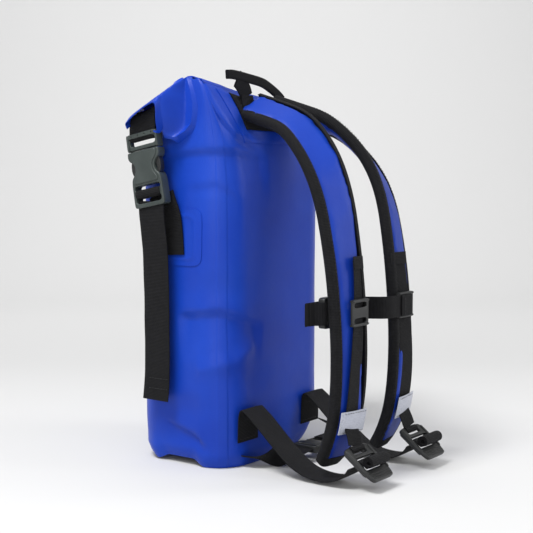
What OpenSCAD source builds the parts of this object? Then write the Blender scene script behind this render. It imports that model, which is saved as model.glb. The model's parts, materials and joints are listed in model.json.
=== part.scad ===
// Roll-top dry bag with a backpack harness.
// Frame: X across the bag, harness side at -Y, roll folded towards +Y, +Z up, base on z = 0.

/* [Bag] */
// Width of the bag, side to side
bag_w = 212; // [190:1:250]
// Depth of the bag, harness side to front
bag_d = 146; // [130:1:175]
// Height of the straight part of the tube, where the neck begins
tube_h = 340; // [290:1:400]
// Height of the neck above the straight part, up to the ridge
neck_h = 96; // [90:1:120]
// Radius of the tube's vertical corners
corner_r = 45; // [30:1:55]
// Thickness of the coated fabric, with its inner coating
fabric_t = 1.2; // [0.8:0.1:2]
// Height of the welded rim under the base
rim_h = 12; // [8:1:16]
// Width of the arch cut in the rim on each side
arch_w = 74; // [50:1:90]
// Width of the strap sewn across the underside of the base
base_strap_w = 50; // [38:1:60]

/* [Closure] */
// Depth of the rolled closure, front to back
roll_d = 50; // [45:1:60]
// Height of the rolled closure
roll_h = 34; // [26:1:38]
// How far each end of the roll stands out past the bag's side
ear_reach = 34; // [28:1:45]
// Width of the stiffener strip inside the roll
stiffener_w = 36; // [30:1:40]

/* [Side buckles] */
// Width of the closure webbing
side_web_w = 38; // [30:1:42]
// Thickness of every webbing
web_t = 1.6; // [1.2:0.1:2.2]
// Width of the buckle at its mouth
buckle_w = 52; // [48:1:58]
// Length of the closed buckle
buckle_l = 80; // [72:1:90]
// Thickness of the buckle's shell
buckle_t = 14; // [12:0.5:16]
// Lean of the buckle from vertical
buckle_lean = 10; // [0:1:14]
// Width of the welded patch on each side
patch_w = 80; // [70:1:90]
// Height of the welded patch on each side
patch_h = 70; // [62:1:90]
// Length of the free strap tail
tail_l = 220; // [160:1:250]

/* [Harness] */
// Distance between the middle planes of the two shoulder straps
strap_gap = 112; // [96:1:140]
// Width of a shoulder strap
strap_w = 54; // [46:1:60]
// Thickness of the foam in a shoulder strap
foam_t = 8; // [5:0.5:10]
// Thickness of the strap's outer fabric and of its mesh backing
skin_t = 1.5; // [1:0.1:2]
// Width of the harness webbing
harness_web_w = 25; // [20:1:30]
// Width of the lower strap webbing
lower_web_w = 38; // [30:1:40]
// Distance between the middle planes of the two lower straps
lower_gap = 128; // [120:1:150]
// Height of the chest strap's middle above the floor
chest_z = 188; // [180:1:230]

/* [Fits] */
// Gap between pieces that slide past each other
slide_gap = 0.5; // [0.3:0.1:0.8]
// Gap between a flat strap and what it lies on
lie_gap = 0.3; // [0.2:0.1:0.6]

/* [Hidden] */
$fn = 48;

half_w = bag_w / 2;
half_d = bag_d / 2;
ridge_z = tube_h + neck_h;
right = -1;
left = 1;

blue = [0.12, 0.18, 0.78];
black = [0.05, 0.05, 0.055];
grey = [0.24, 0.27, 0.27];
silver = [0.78, 0.8, 0.86];

// ---- helpers ----
// One corner-cutting pass over an open run of points
function cut_corners(p) = concat(
    [p[0]],
    [for (i = [0:len(p) - 2]) for (t = [0.25, 0.75]) p[i] * (1 - t) + p[i + 1] * t],
    [p[len(p) - 1]]);
function smooth(p) = cut_corners(cut_corners(p));
function unit(v) = v / norm(v);
function along(p, i) = unit(p[min(i + 1, len(p) - 1)] - p[max(i - 1, 0)]);
// The point beside point i of a plane curve, a distance d to its left
function beside(p, i, d) = p[i] + d * [-along(p, i)[1], along(p, i)[0]];
// Closed outline of a strip that follows a curve, from d0 to d1 beside it
function strip(p, d0, d1) = concat(
    [for (i = [0:len(p) - 1]) beside(p, i, d0)],
    [for (i = [len(p) - 1:-1:0]) beside(p, i, d1)]);

// A solid with a Y-Z outline, w wide and centred on x = cx
module across_x(outline, cx, w) {
    translate([cx - w / 2, 0, 0])
    rotate([90, 0, 90])
    linear_extrude(w)
    polygon(outline);
}

// A solid with an X-Z outline, from y0 to y1
module across_y(outline, y0, y1) {
    translate([0, y1, 0])
    rotate([90, 0, 0])
    linear_extrude(y1 - y0)
    polygon(outline);
}

// Rounded rectangle, centred, in the X-Y plane
module plate(w, d, r, t) {
    linear_extrude(t)
    union() {
        square([w - 2 * r, d], center = true);
        square([w, d - 2 * r], center = true);
        for (sx = [-1, 1]) {
            for (sy = [-1, 1]) {
                translate([sx * (w / 2 - r), sy * (d / 2 - r)])
                circle(r);
            }
        }
    }
}

// One level of the tube: z, half width, back y, front y, corner radius
function level(z, hw, back, front, r, inset) =
    let (rr = max(min(r, (front - back) / 2 - 0.5) - inset, 0.4))
    [for (c = [0:3]) for (k = [0:8])
        let (a = c * 90 + k * 11.25)
        let (sx = (c == 0 || c == 3) ? 1 : -1)
        let (cy = (c < 2) ? front - inset - rr : back + inset + rr)
        [sx * (hw - inset - rr) + rr * cos(a), cy + rr * sin(a), z]];

module loft(levels) {
    n = len(levels[0]);
    m = len(levels);
    polyhedron(
        points = [for (l = levels) each l],
        faces = concat(
            [[for (i = [0:n - 1]) i]],
            [[for (i = [n - 1:-1:0]) (m - 1) * n + i]],
            [for (j = [0:m - 2]) for (i = [0:n - 1])
                [j * n + i, (j + 1) * n + i, (j + 1) * n + (i + 1) % n]],
            [for (j = [0:m - 2]) for (i = [0:n - 1])
                [j * n + i, (j + 1) * n + (i + 1) % n, j * n + (i + 1) % n]]));
}

// ---- bag ----
// Back and front of the tube at the neck, as the shoulder under the roll pulls in
shoulder_z = tube_h + 64;
neck_back = -half_d + 17;
neck_front = 7;

module tube(inset, z0, z1) {
    loft([
        level(z0, half_w - 5, -half_d + 5, half_d - 5, corner_r, inset),
        level(rim_h + 16, half_w, -half_d, half_d, corner_r, inset),
        level(tube_h, half_w, -half_d, half_d, corner_r, inset),
        level(tube_h + 30, half_w - 3, -half_d + 4, half_d - 6, corner_r - 5, inset),
        level(shoulder_z - 8, half_w - 8, -half_d + 12, half_d - 24, 26, inset),
        level(shoulder_z, half_w - 10, neck_back, neck_front, 18, inset),
        level(z1, half_w - 12, neck_back + 16, neck_front, 10, inset)
    ]);
}

module bag_body() {
    color(blue)
    difference() {
        tube(0, rim_h + fabric_t, ridge_z);
        tube(fabric_t, rim_h, ridge_z - fabric_t);
    }
}

// Base sheet with the welded rim that hangs below it, arched on both sides
module base_panel() {
    rim_t = 4;
    w = bag_w - 10;
    d = bag_d - 10;
    r = corner_r - 5;
    foot = arch_w / 2;
    crown = rim_h - 1.5;
    color(blue)
    difference() {
        plate(w, d, r, rim_h + fabric_t);
        translate([0, 0, -1])
        plate(w - 2 * rim_t, d - 2 * rim_t, r - rim_t, rim_h + 1);
        across_x([
            [-foot, -1], [-foot + 8, crown - 3], [-foot + 20, crown],
            [foot - 20, crown], [foot - 8, crown - 3], [foot, -1]
        ], 0, bag_w * 2);
    }
}

// Strap across the underside, sewn to the base sheet near each arch
module base_strap() {
    end_x = half_w - 12;
    top_z = rim_h - web_t / 2 - 0.1;
    line = [
        [-end_x, top_z], [-end_x + 20, top_z], [-end_x + 34, rim_h / 2], [-end_x + 50, web_t / 2],
        [end_x - 50, web_t / 2], [end_x - 34, rim_h / 2], [end_x - 20, top_z], [end_x, top_z]
    ];
    color(black)
    across_y(strip(line, -web_t / 2, web_t / 2), -base_strap_w / 2, base_strap_w / 2);
}

// ---- rolled closure ----
roll_y = neck_front + 1 + roll_d / 2;
roll_z = ridge_z - 14;
stiff_z = roll_z + 1;
web_x = half_w + ear_reach - 18;

// X-Z outline of the roll: level across the bag, its ends turned down over the sides
function roll_outline() =
    let (e = half_w + ear_reach)
    let (top = roll_z + roll_h / 2)
    let (low = roll_z - roll_h / 2)
    let (half = [
        [0, top - 4], [half_w - 30, top], [half_w - 8, top + 4], [e - 16, top - 8], [e - 4, top - 26],
        [e, low - 12], [e - 30, low - 18], [half_w - 2, low - 4], [half_w - 12, low]])
    concat(half, [for (i = [len(half) - 1:-1:0]) [-half[i][0], half[i][1]]]);

// Curve of the stiffener and the webbing sewn to its end, on the right-hand side
function closure_line() = smooth([
    [-half_w + 14, stiff_z], [-half_w - 2, stiff_z - 1], [-web_x + 4, stiff_z - 12],
    [-web_x, stiff_z - 28], [-web_x, buckle_top_z + 7]]);

module closure_roll() {
    slot = web_t / 2 + lie_gap;
    color(blue)
    difference() {
        across_y(roll_outline(), roll_y - roll_d / 2, roll_y + roll_d / 2);
        translate([0, roll_y, stiff_z])
        cube([2 * half_w - 28, stiffener_w + 1, 2 * slot], center = true);
        for (m = [0, 1]) {
            mirror([m, 0, 0])
            across_y(strip(closure_line(), -slot, slot),
                roll_y - side_web_w / 2 - lie_gap, roll_y + side_web_w / 2 + lie_gap);
        }
    }
}

module closure_stiffener() {
    color(black)
    translate([0, roll_y, stiff_z])
    cube([2 * half_w - 29, stiffener_w, web_t], center = true);
}

module mirrored(side) {
    mirror([side == left ? 1 : 0, 0, 0])
    children();
}

module closure_webbing(side) {
    color(black)
    mirrored(side)
    across_y(strip(closure_line(), -web_t / 2, web_t / 2),
        roll_y - side_web_w / 2, roll_y + side_web_w / 2);
}

// ---- side-release buckles ----
// Local frame of a buckle: origin at the male bar, Z up along the strap, Y across it, X through it
buckle_top_z = roll_z - 42;
mouth_z = -14;
shell_wall = 2.2;
prong_t = buckle_t - 2 * shell_wall - 2;
prong_reach = 34;
waist_half = buckle_w / 2 - 7;
prong_half = buckle_w / 2 - shell_wall - 2.4;
guide_half = 4;
throat_z = -prong_reach - 16;
bar_h = 6;
bar_t = 4;
slot_h = 8;
bar_local_z = throat_z - 3 - slot_h - bar_h / 2;

module at_buckle(side) {
    mirrored(side)
    translate([-web_x, roll_y, buckle_top_z])
    rotate([-buckle_lean, 0, 0])
    children();
}

// A shape drawn in the buckle's Y-Z plane, t thick and centred on its middle plane
module buckle_slab(outline, t) {
    across_x(outline, 0, t);
}

module buckle_male(side) {
    w = side_web_w / 2 + 4.5;
    color(grey)
    at_buckle(side)
    difference() {
        union() {
            buckle_slab([
                [-w, 5], [w, 5], [w, mouth_z + 1], [w - 4, mouth_z - 1],
                [-w + 4, mouth_z - 1], [-w, mouth_z + 1]
            ], prong_t);
            buckle_slab([
                [-guide_half, mouth_z], [guide_half, mouth_z],
                [guide_half - 1.5, -prong_reach - 6], [-guide_half + 1.5, -prong_reach - 6]
            ], prong_t);
        }
        translate([0, 0, -5])
        cube([buckle_t, side_web_w + 1, 8], center = true);
        translate([0, 0, 2.5])
        cube([web_t + 2 * lie_gap, side_web_w + 4, 20], center = true);
    }
}

// One springy prong; face is 1 for the one nearer the bag's front and -1 for the other
module prong(side, face) {
    in = 11;
    color(grey)
    at_buckle(side)
    buckle_slab([
        [face * in, mouth_z - 1.4], [face * (in + 5), mouth_z - 1.4],
        [face * (prong_half - 1.5), -27], [face * prong_half, -31],
        [face * prong_half, -41], [face * (prong_half - 4), -prong_reach - 12],
        [face * (prong_half - 7), -prong_reach - 12], [face * (prong_half - 5), -36]
    ], prong_t);
}

module buckle_female(side) {
    w = buckle_w / 2;
    end = side_web_w / 2 + 5.5;
    wall = shell_wall;
    color(grey)
    at_buckle(side)
    difference() {
        buckle_slab([
            [-w, mouth_z - 0.5], [w, mouth_z - 0.5], [w, mouth_z - 10], [waist_half, -31],
            [waist_half, -41], [end, throat_z], [end, -buckle_l + 3], [end - 3, -buckle_l],
            [-end + 3, -buckle_l], [-end, -buckle_l + 3], [-end, throat_z],
            [-waist_half, -41], [-waist_half, -31], [-w, mouth_z - 10]
        ], buckle_t);
        buckle_slab([
            [-w + wall, 0], [w - wall, 0], [w - wall, mouth_z - 10], [prong_half + 1, -30],
            [prong_half + 1, -44], [16, throat_z + 1], [-16, throat_z + 1], [-prong_half - 1, -44],
            [-prong_half - 1, -30], [-w + wall, mouth_z - 10]
        ], buckle_t - 2 * wall);
        for (s = [-1, 1]) {
            translate([0, s * buckle_w / 2, -36])
            cube([buckle_t - 2 * wall, 18, 16], center = true);
        }
        for (z = [bar_local_z + bar_h / 2 + slot_h / 2, bar_local_z - bar_h / 2 - slot_h / 2]) {
            translate([0, 0, z])
            cube([buckle_t + 2, side_web_w + 1, slot_h], center = true);
        }
        for (s = [-1, 1]) {
            translate([s * (bar_t / 2 + buckle_t / 2), 0, bar_local_z])
            cube([buckle_t, side_web_w + 1, bar_h + 1], center = true);
        }
    }
}

// ---- side straps ----
strap_y = roll_y - sin(buckle_lean) * buckle_l;
bar_z = buckle_top_z - cos(buckle_lean) * (buckle_l - 8);
patch_top_z = bar_z - 8;
panel_x = half_w;

module side_patch(side) {
    color(blue)
    mirrored(side)
    translate([-panel_x - fabric_t, 0, patch_top_z - patch_h / 2])
    rotate([90, 0, 90])
    plate(patch_w, patch_h, 14, fabric_t);
}

// Sewn strap that rises from the patch to the back of the buckle
module side_strap(side) {
    x0 = -panel_x - fabric_t - lie_gap - web_t / 2;
    shift = 12;
    color(black)
    mirrored(side)
    across_y(strip([
        [x0, patch_top_z - 56], [x0, bar_z - 24], [x0 - 2, bar_z - 6], [x0 - 3, bar_z + 8]
    ], -web_t / 2, web_t / 2), strap_y - side_web_w / 2 - shift, strap_y + side_web_w / 2 - shift);
}

// Webbing looped on the buckle's ladder bar
module bar_wrap(side) {
    gap_t = bar_t + 2 * lie_gap;
    gap_h = bar_h + 2 * lie_gap;
    color(black)
    at_buckle(side)
    translate([0, 0, bar_local_z])
    difference() {
        cube([gap_t + 2 * web_t, side_web_w, gap_h + 2 * web_t], center = true);
        cube([gap_t, side_web_w + 2, gap_h], center = true);
    }
}

tail_x = -web_x - buckle_t / 2 + 3.2;
tail_top_z = bar_z - 14;

// Free end of the strap, hanging from the buckle down the side
module strap_tail(side) {
    color(black)
    mirrored(side)
    across_y(strip([
        [tail_x, tail_top_z], [tail_x + 3, tail_top_z - 20], [tail_x + 8, tail_top_z - 60],
        [tail_x + 9, tail_top_z - tail_l + 8], [tail_x + 8, tail_top_z - tail_l]
    ], -web_t / 2, web_t / 2), strap_y - side_web_w / 2, strap_y + side_web_w / 2);
}

// ---- harness on the back ----
function back_y(z) = lookup(z, [
    [tube_h, -half_d], [tube_h + 30, -half_d + 4], [shoulder_z - 8, -half_d + 12],
    [shoulder_z, neck_back], [ridge_z, neck_back + 16]]);
function back_line(z0, z1) = concat(
    [[back_y(z0), z0]],
    [for (z = [tube_h + 30, shoulder_z - 8, shoulder_z]) if (z > z0 && z < z1) [back_y(z), z]],
    [[back_y(z1), z1]]);

yoke_top_z = ridge_z - 4;
yoke_low_z = ridge_z - 46;
panel_low_z = tube_h + 34;
yoke_out = fabric_t + web_t;

// X-Z outline that widens upwards, half as wide as low at z0 and as high at z1
module keystone(z0, low, z1, high) {
    across_y([[-low, z0], [low, z0], [high, z1], [-high, z1]], -half_d - 20, 0);
}

module harness_panel() {
    color(blue)
    intersection() {
        across_x(strip(back_line(panel_low_z, ridge_z - 2), 0.1, fabric_t), 0, bag_w);
        keystone(panel_low_z - 2, 58, ridge_z, 82);
    }
}

module harness_yoke() {
    color(black)
    intersection() {
        across_x(strip(back_line(yoke_low_z, yoke_top_z), fabric_t + 0.2, yoke_out), 0, bag_w);
        keystone(yoke_low_z - 2, 47, yoke_top_z + 2, 59);
    }
}

handle_t = 3;
handle_z = yoke_top_z - 2;
handle_y = back_y(handle_z) - yoke_out - handle_t / 2 - 1;

// Webbing handle, pulled over to one side: its bar sticks out past one leg and slopes to the other
module grab_handle() {
    color(black)
    translate([0, 0, handle_z])
    across_y([
        [-46, 0], [-50, 13], [-70, 17], [-72, 26], [-64, 28], [-4, 22], [12, 15], [48, 0],
        [29, 0], [5, 9], [-22, 12], [-21, 0]
    ], handle_y - handle_t / 2, handle_y + handle_t / 2);
}

// ---- shoulder straps ----
strap_x = -strap_gap / 2;
strap_top_z = ridge_z - 22;
half_pad = foam_t / 2 + skin_t;

// Y-Z curve of a shoulder strap, from the yoke outwards and down
strap_line = smooth([
    [-42, strap_top_z + 2], [-84, strap_top_z - 8], [-121, strap_top_z - 16],
    [-152, strap_top_z - 44], [-172, strap_top_z - 70], [-186, strap_top_z - 106], [-194, 268], [-200, 228], [-204, 185], [-206, 145], [-205, 104], [-201, 72],
    [-194, 48], [-184, 30], [-174, 20]]);

// X-Z outline of a shoulder strap: its top leans in towards the middle, its lower end is rounded
module strap_shape() {
    h = strap_w / 2;
    lean = strap_gap / 4 - 2;
    bend_z = tube_h;
    translate([strap_x, 0, 0])
    across_y([
        [-h, bend_z], [-h + lean, strap_top_z], [-h + lean, ridge_z], [h + lean, ridge_z],
        [h + lean, strap_top_z], [h, bend_z], [h, 60], [h - 3, 38], [h - 9, 24], [h - 16, 17],
        [-h + 16, 17], [-h + 9, 24], [-h + 3, 38], [-h, 60]
    ], -260, 0);
}

module strap_layer(side, d0, d1) {
    mirrored(side)
    difference() {
        intersection() {
            across_x(strip(strap_line, d0, d1), strap_x, 3 * strap_w);
            strap_shape();
        }
        across_x(strip(back_line(tube_h, ridge_z), yoke_out + lie_gap, -40), 0, 2 * bag_w);
    }
}

module strap_cover(side) {
    color(blue)
    strap_layer(side, -half_pad, -foam_t / 2);
}

module strap_foam(side) {
    color(grey)
    strap_layer(side, -foam_t / 2, foam_t / 2);
}

module strap_backing(side) {
    color(black)
    strap_layer(side, foam_t / 2, half_pad);
}

// Harness webbing sewn down the outer face, ending round the ladder lock's bar
lock_x = -(strap_gap + lower_gap) / 4;
lock_y = -217;
lock_z = 40;
lock_angle = 217;
bar_r = 2;
web_off = half_pad + lie_gap + web_t / 2;
web_on_strap = [for (i = [0:len(strap_line) - 1])
    if (strap_line[i][1] < 246 && strap_line[i][1] > 58) beside(strap_line, i, -web_off)];
strap_web_x = strap_x + 6;

module strap_webbing(side) {
    loop_r = bar_r + lie_gap;
    color(black)
    mirrored(side)
    union() {
        across_x(strip(concat(web_on_strap, [[lock_y + 3.4, lock_z + 8], [lock_y + 3.1, lock_z + 1]]),
            -web_t / 2, web_t / 2), strap_web_x, harness_web_w);
        translate([strap_web_x - harness_web_w / 2, lock_y, lock_z])
        rotate([0, 90, 0])
        difference() {
            cylinder(h = harness_web_w, r = loop_r + web_t);
            translate([0, 0, -1])
            cylinder(h = harness_web_w + 2, r = loop_r);
        }
    }
}

module reflector(side) {
    off = half_pad + 2 * lie_gap + web_t + 0.4;
    line = [for (i = [0:len(strap_line) - 1])
        if (strap_line[i][1] < 92 && strap_line[i][1] > 60) beside(strap_line, i, -off)];
    color(silver)
    mirrored(side)
    across_x(strip(line, -0.4, 0.4), strap_x, strap_w - 10);
}

// Local frame of the ladder lock: origin on its top bar, Y along the plate towards its lever
module at_lock(side) {
    mirrored(side)
    translate([lock_x, lock_y, lock_z])
    rotate([lock_angle, 0, 0])
    children();
}

module ladder_lock(side) {
    w = lower_web_w + 8;
    t = 4;
    gate = harness_web_w + 2;
    color(grey)
    at_lock(side)
    union() {
        translate([-w / 2, 0, 0])
        rotate([0, 90, 0])
        cylinder(h = w, r = bar_r);
        difference() {
            translate([-w / 2, -1, -t / 2])
            cube([w, 46, t]);
            translate([strap_web_x - lock_x - gate / 2, -8, -t])
            cube([gate, 14, 2 * t]);
            for (y = [12, 23]) {
                translate([-lower_web_w / 2 - 0.5, y, -t])
                cube([lower_web_w + 1, 6, 2 * t]);
            }
        }
    }
}

// Free end of the lower webbing: over the middle bar and rolled up on the plate
module webbing_tail(side) {
    roll_r = 6.5;
    roll_y = 26;
    roll_z = -3.8 - roll_r + 0.4;
    color(black)
    at_lock(side)
    union() {
        rotate([0, 90, 0])
        rotate([0, 0, 90])
        translate([0, 0, -lower_web_w / 2])
        linear_extrude(lower_web_w)
        polygon([
            [14, 4], [14, -3.8], [30, -3.8], [30, -2.3], [16, -2.3], [16, 4]
        ]);
        translate([-lower_web_w / 2, roll_y, roll_z])
        rotate([0, 90, 0])
        difference() {
            cylinder(h = lower_web_w, r = roll_r);
            translate([0, 0, -1])
            cylinder(h = lower_web_w + 2, r = 2.6);
        }
    }
}

module lower_webbing(side) {
    y0 = -half_d - lie_gap - web_t / 2;
    line = smooth([
        [y0, 33], [y0, 62], [y0 - 2, 69], [y0 - 7, 69], [-95, 58], [-115, 40], [-132, 24],
        [-150, 11], [-170, 4.5], [-190, 3.5], [-206, 7], [-219, 16], [-224, 23.5]]);
    color(black)
    mirrored(side)
    across_x(strip(line, -web_t / 2, web_t / 2), -lower_gap / 2, lower_web_w);
}

// ---- chest strap ----
function strap_at(z) = lookup(z, [for (p = strap_line) [p[1], p[0]]]);
slider_h = 30;
chest_travel = 12;
chest_y = strap_at(chest_z - slider_h / 2 - chest_travel) - web_off - web_t / 2 - slide_gap;
chest_h = harness_web_w;

// Clip that rides on the webbing of a shoulder strap
module chest_slider(side) {
    w = harness_web_w + 8;
    plate_t = 3;
    lip = web_t + slide_gap;
    color(grey)
    mirrored(side)
    difference() {
        translate([strap_web_x - w / 2, chest_y - plate_t, chest_z - slider_h / 2])
        cube([w, plate_t + lip, slider_h]);
        translate([strap_web_x - harness_web_w / 2 - 1, chest_y, chest_z - slider_h])
        cube([harness_web_w + 2, 10, 2 * slider_h]);
    }
}

// Plan curve of the long half: from the left slider across and round behind the right strap
chest_buckle_y = chest_y + 27;
chest_front_y = chest_y - 3.4 - web_t / 2;
chest_line = smooth([
    [-strap_web_x + 10, chest_front_y], [20, chest_front_y], [6, chest_front_y + 2],
    [-1, chest_y + 10], [-5, chest_y + 22], [-12, chest_buckle_y], [-36, chest_buckle_y]]);

module chest_webbing_left() {
    color(black)
    translate([0, 0, chest_z - chest_h / 2])
    linear_extrude(chest_h)
    polygon(strip(chest_line, -web_t / 2, web_t / 2));
}

module chest_buckle_male() {
    color(grey)
    translate([-46, chest_buckle_y, chest_z])
    difference() {
        union() {
            translate([-8, -3, -16])
            cube([20, 6, 32]);
            translate([-22, -2.4, -10])
            cube([15, 4.8, 20]);
        }
        translate([-7, -web_t / 2 - slide_gap, -chest_h / 2 - 0.5])
        cube([30, web_t + 2 * slide_gap, chest_h + 1]);
    }
}

chest_end_x = -82.5;
end_bar = 3;
chest_shell_t = 9;

module chest_buckle_female() {
    slot = 5;
    color(grey)
    translate([chest_end_x, chest_buckle_y, chest_z])
    difference() {
        translate([0, -chest_shell_t / 2, -17])
        cube([28, chest_shell_t, 34]);
        translate([11, -3, -11])
        cube([30, 6, 22]);
        translate([end_bar, -chest_shell_t, -chest_h / 2 - 0.5])
        cube([slot, 2 * chest_shell_t, chest_h + 1]);
    }
}

// Short half: a sewn loop round the buckle's end bar, standing out past the strap's edge
module chest_webbing_right() {
    gap_x = end_bar / 2 + lie_gap;
    gap_y = chest_shell_t / 2 + lie_gap;
    free_l = 22;
    color(black)
    translate([chest_end_x + end_bar / 2, chest_buckle_y, chest_z - chest_h / 2])
    linear_extrude(chest_h)
    difference() {
        union() {
            square([2 * (gap_x + web_t), 2 * (gap_y + web_t)], center = true);
            translate([-gap_x - free_l, gap_y])
            square([free_l, web_t]);
        }
        square([2 * gap_x, 2 * gap_y], center = true);
    }
}

// ---- waist belt ----
// Ribbon along a path in space, its width level
module ribbon(path, w, t) {
    n = len(path);
    function across(i) = unit([-along(path, i)[1], along(path, i)[0], 0]) * w / 2;
    polyhedron(
        points = [for (i = [0:n - 1]) each [
            path[i] - across(i) - [0, 0, t / 2], path[i] + across(i) - [0, 0, t / 2],
            path[i] + across(i) + [0, 0, t / 2], path[i] - across(i) + [0, 0, t / 2]]],
        faces = concat(
            [[0, 1, 2, 3]],
            [[for (k = [3:-1:0]) (n - 1) * 4 + k]],
            [for (i = [0:n - 2]) for (k = [0:3])
                [i * 4 + k, (i + 1) * 4 + k, (i + 1) * 4 + (k + 1) % 4]],
            [for (i = [0:n - 2]) for (k = [0:3])
                [i * 4 + k, (i + 1) * 4 + (k + 1) % 4, i * 4 + (k + 1) % 4]]));
}

belt_y = -112;
belt_z = 15;

module waist_webbing_right() {
    color(black)
    ribbon(smooth([
        [-62, -half_d + 2.6, 5], [-62, -half_d - 7, 6], [-55, -91, 9], [-40, -104, 12], [-20, belt_y, belt_z],
        [-6, belt_y, belt_z]]), harness_web_w, web_t);
}

module waist_webbing_left() {
    color(black)
    ribbon(smooth([
        [44, belt_y, belt_z], [76, belt_y, belt_z], [86, -107, 19], [half_w - 15, -92, 23],
        [half_w - 14, -half_d - 2, 25]]), harness_web_w, web_t);
}

module waist_buckle_female() {
    color(grey)
    translate([0, belt_y, belt_z])
    difference() {
        translate([-8, -17, -4.5])
        cube([30, 34, 9]);
        translate([2, -11, -3])
        cube([30, 22, 6]);
        translate([-20, -harness_web_w / 2 - 0.5, -web_t / 2 - 0.4])
        cube([16, harness_web_w + 1, web_t + 0.8]);
    }
}

module waist_buckle_male() {
    color(grey)
    translate([0, belt_y, belt_z])
    difference() {
        union() {
            translate([22.5, -16, -3])
            cube([24, 32, 6]);
            translate([6, -10, -2.4])
            cube([18, 20, 4.8]);
        }
        translate([24.5, -harness_web_w / 2 - 0.5, -web_t / 2 - slide_gap])
        cube([30, harness_web_w + 1, web_t + 2 * slide_gap]);
    }
}

bag_body();
base_panel();
base_strap();
closure_roll();
closure_stiffener();
closure_webbing(right);  // closure_webbing_right
closure_webbing(left);  // closure_webbing_left
buckle_male(right);  // buckle_male_right
buckle_male(left);  // buckle_male_left
prong(right, 1);  // prong_front_right
prong(right, -1);  // prong_rear_right
prong(left, 1);  // prong_front_left
prong(left, -1);  // prong_rear_left
buckle_female(right);  // buckle_female_right
buckle_female(left);  // buckle_female_left
side_patch(right);  // side_patch_right
side_patch(left);  // side_patch_left
side_strap(right);  // side_strap_right
side_strap(left);  // side_strap_left
strap_tail(right);  // strap_tail_right
strap_tail(left);  // strap_tail_left
bar_wrap(right);  // bar_wrap_right
bar_wrap(left);  // bar_wrap_left
harness_panel();
harness_yoke();
grab_handle();
strap_cover(right);  // strap_cover_right
strap_cover(left);  // strap_cover_left
strap_foam(right);  // strap_foam_right
strap_foam(left);  // strap_foam_left
strap_backing(right);  // strap_backing_right
strap_backing(left);  // strap_backing_left
strap_webbing(right);  // strap_webbing_right
strap_webbing(left);  // strap_webbing_left
reflector(right);  // reflector_right
reflector(left);  // reflector_left
ladder_lock(right);  // ladder_lock_right
ladder_lock(left);  // ladder_lock_left
lower_webbing(right);  // lower_webbing_right
lower_webbing(left);  // lower_webbing_left
webbing_tail(right);  // webbing_tail_right
webbing_tail(left);  // webbing_tail_left
chest_slider(right);  // chest_slider_right
chest_slider(left);  // chest_slider_left
chest_buckle_female();
chest_buckle_male();
chest_webbing_right();
chest_webbing_left();
waist_webbing_right();
waist_webbing_left();
waist_buckle_female();
waist_buckle_male();
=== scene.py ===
"""Looks of the roll-top dry bag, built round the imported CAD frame. Metres, +Z up, harness side at -Y."""

import json
import math

import bmesh
import bpy
import numpy as np
from mathutils import Matrix, Vector, noise
from mathutils.bvhtree import BVHTree


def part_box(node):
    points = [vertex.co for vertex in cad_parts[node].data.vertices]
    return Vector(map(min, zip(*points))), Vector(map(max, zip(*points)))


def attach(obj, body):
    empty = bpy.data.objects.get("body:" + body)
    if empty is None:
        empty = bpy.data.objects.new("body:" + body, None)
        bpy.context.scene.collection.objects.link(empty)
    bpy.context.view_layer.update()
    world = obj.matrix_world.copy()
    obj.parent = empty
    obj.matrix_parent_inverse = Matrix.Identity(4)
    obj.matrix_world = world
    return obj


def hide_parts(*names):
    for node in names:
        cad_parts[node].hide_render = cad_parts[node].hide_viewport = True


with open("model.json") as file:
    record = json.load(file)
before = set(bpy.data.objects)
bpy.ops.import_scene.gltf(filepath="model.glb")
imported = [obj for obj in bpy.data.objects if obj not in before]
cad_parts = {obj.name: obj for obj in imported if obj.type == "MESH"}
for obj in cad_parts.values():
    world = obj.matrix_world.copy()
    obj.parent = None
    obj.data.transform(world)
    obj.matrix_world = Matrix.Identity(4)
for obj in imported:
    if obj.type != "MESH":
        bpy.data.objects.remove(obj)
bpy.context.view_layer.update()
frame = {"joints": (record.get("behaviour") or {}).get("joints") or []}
# The near side of the photo is the bag's right, at -X
SIDES = {"right": -1, "left": 1}


# ---- places taken from the frame ----
body_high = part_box("bag_body")[1]
half_w = body_high.x
half_d = body_high.y
corner_r = 0.045
roll_low, roll_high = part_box("closure_roll")
roll_y = (roll_low.y + roll_high.y) / 2
web_low, web_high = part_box("closure_webbing_right")
side_web_w = web_high.y - web_low.y
stiffener_low, stiffener_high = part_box("closure_stiffener")
web_t = stiffener_high.z - stiffener_low.z
male_low, male_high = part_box("buckle_male_right")
buckle_x = (male_low.x + male_high.x) / 2
joint_at = {j["name"]: j for j in frame["joints"]}
release = Vector(joint_at["side_buckle_release_right"]["axis"])
buckle_lean = math.asin(-release.y)
BACK = Vector((0, 1, 0))
ACROSS = Vector((1, 0, 0))
UP = Vector((0, 0, 1))


# ---- curves and meshes ----
def chaikin(points, passes=3):
    """Cuts the corners of an open run of points."""
    pts = [Vector(p) for p in points]
    for _ in range(passes):
        cut = [pts[0]]
        for a, b in zip(pts, pts[1:]):
            cut += [a.lerp(b, 0.25), a.lerp(b, 0.75)]
        pts = cut + [pts[-1]]
    return pts


def lengths_to(pts):
    """Length along a run up to each of its points."""
    at = [0.0]
    for a, b in zip(pts, pts[1:]):
        at.append(at[-1] + (b - a).length)
    return at


def points_at(pts, at, wanted):
    return [Vector([np.interp(w, at, [p[k] for p in pts]) for k in range(3)]) for w in wanted]


def resample(points, step):
    """Points every step along a run, both ends kept."""
    pts = [Vector(p) for p in points]
    at = lengths_to(pts)
    count = max(2, int(round(at[-1] / step)) + 1)
    return points_at(pts, at, np.linspace(0, at[-1], count))


def smooth_step(t):
    """0 to 1 with level ends."""
    t = min(max(t, 0.0), 1.0)
    return t * t * (3 - 2 * t)


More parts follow.
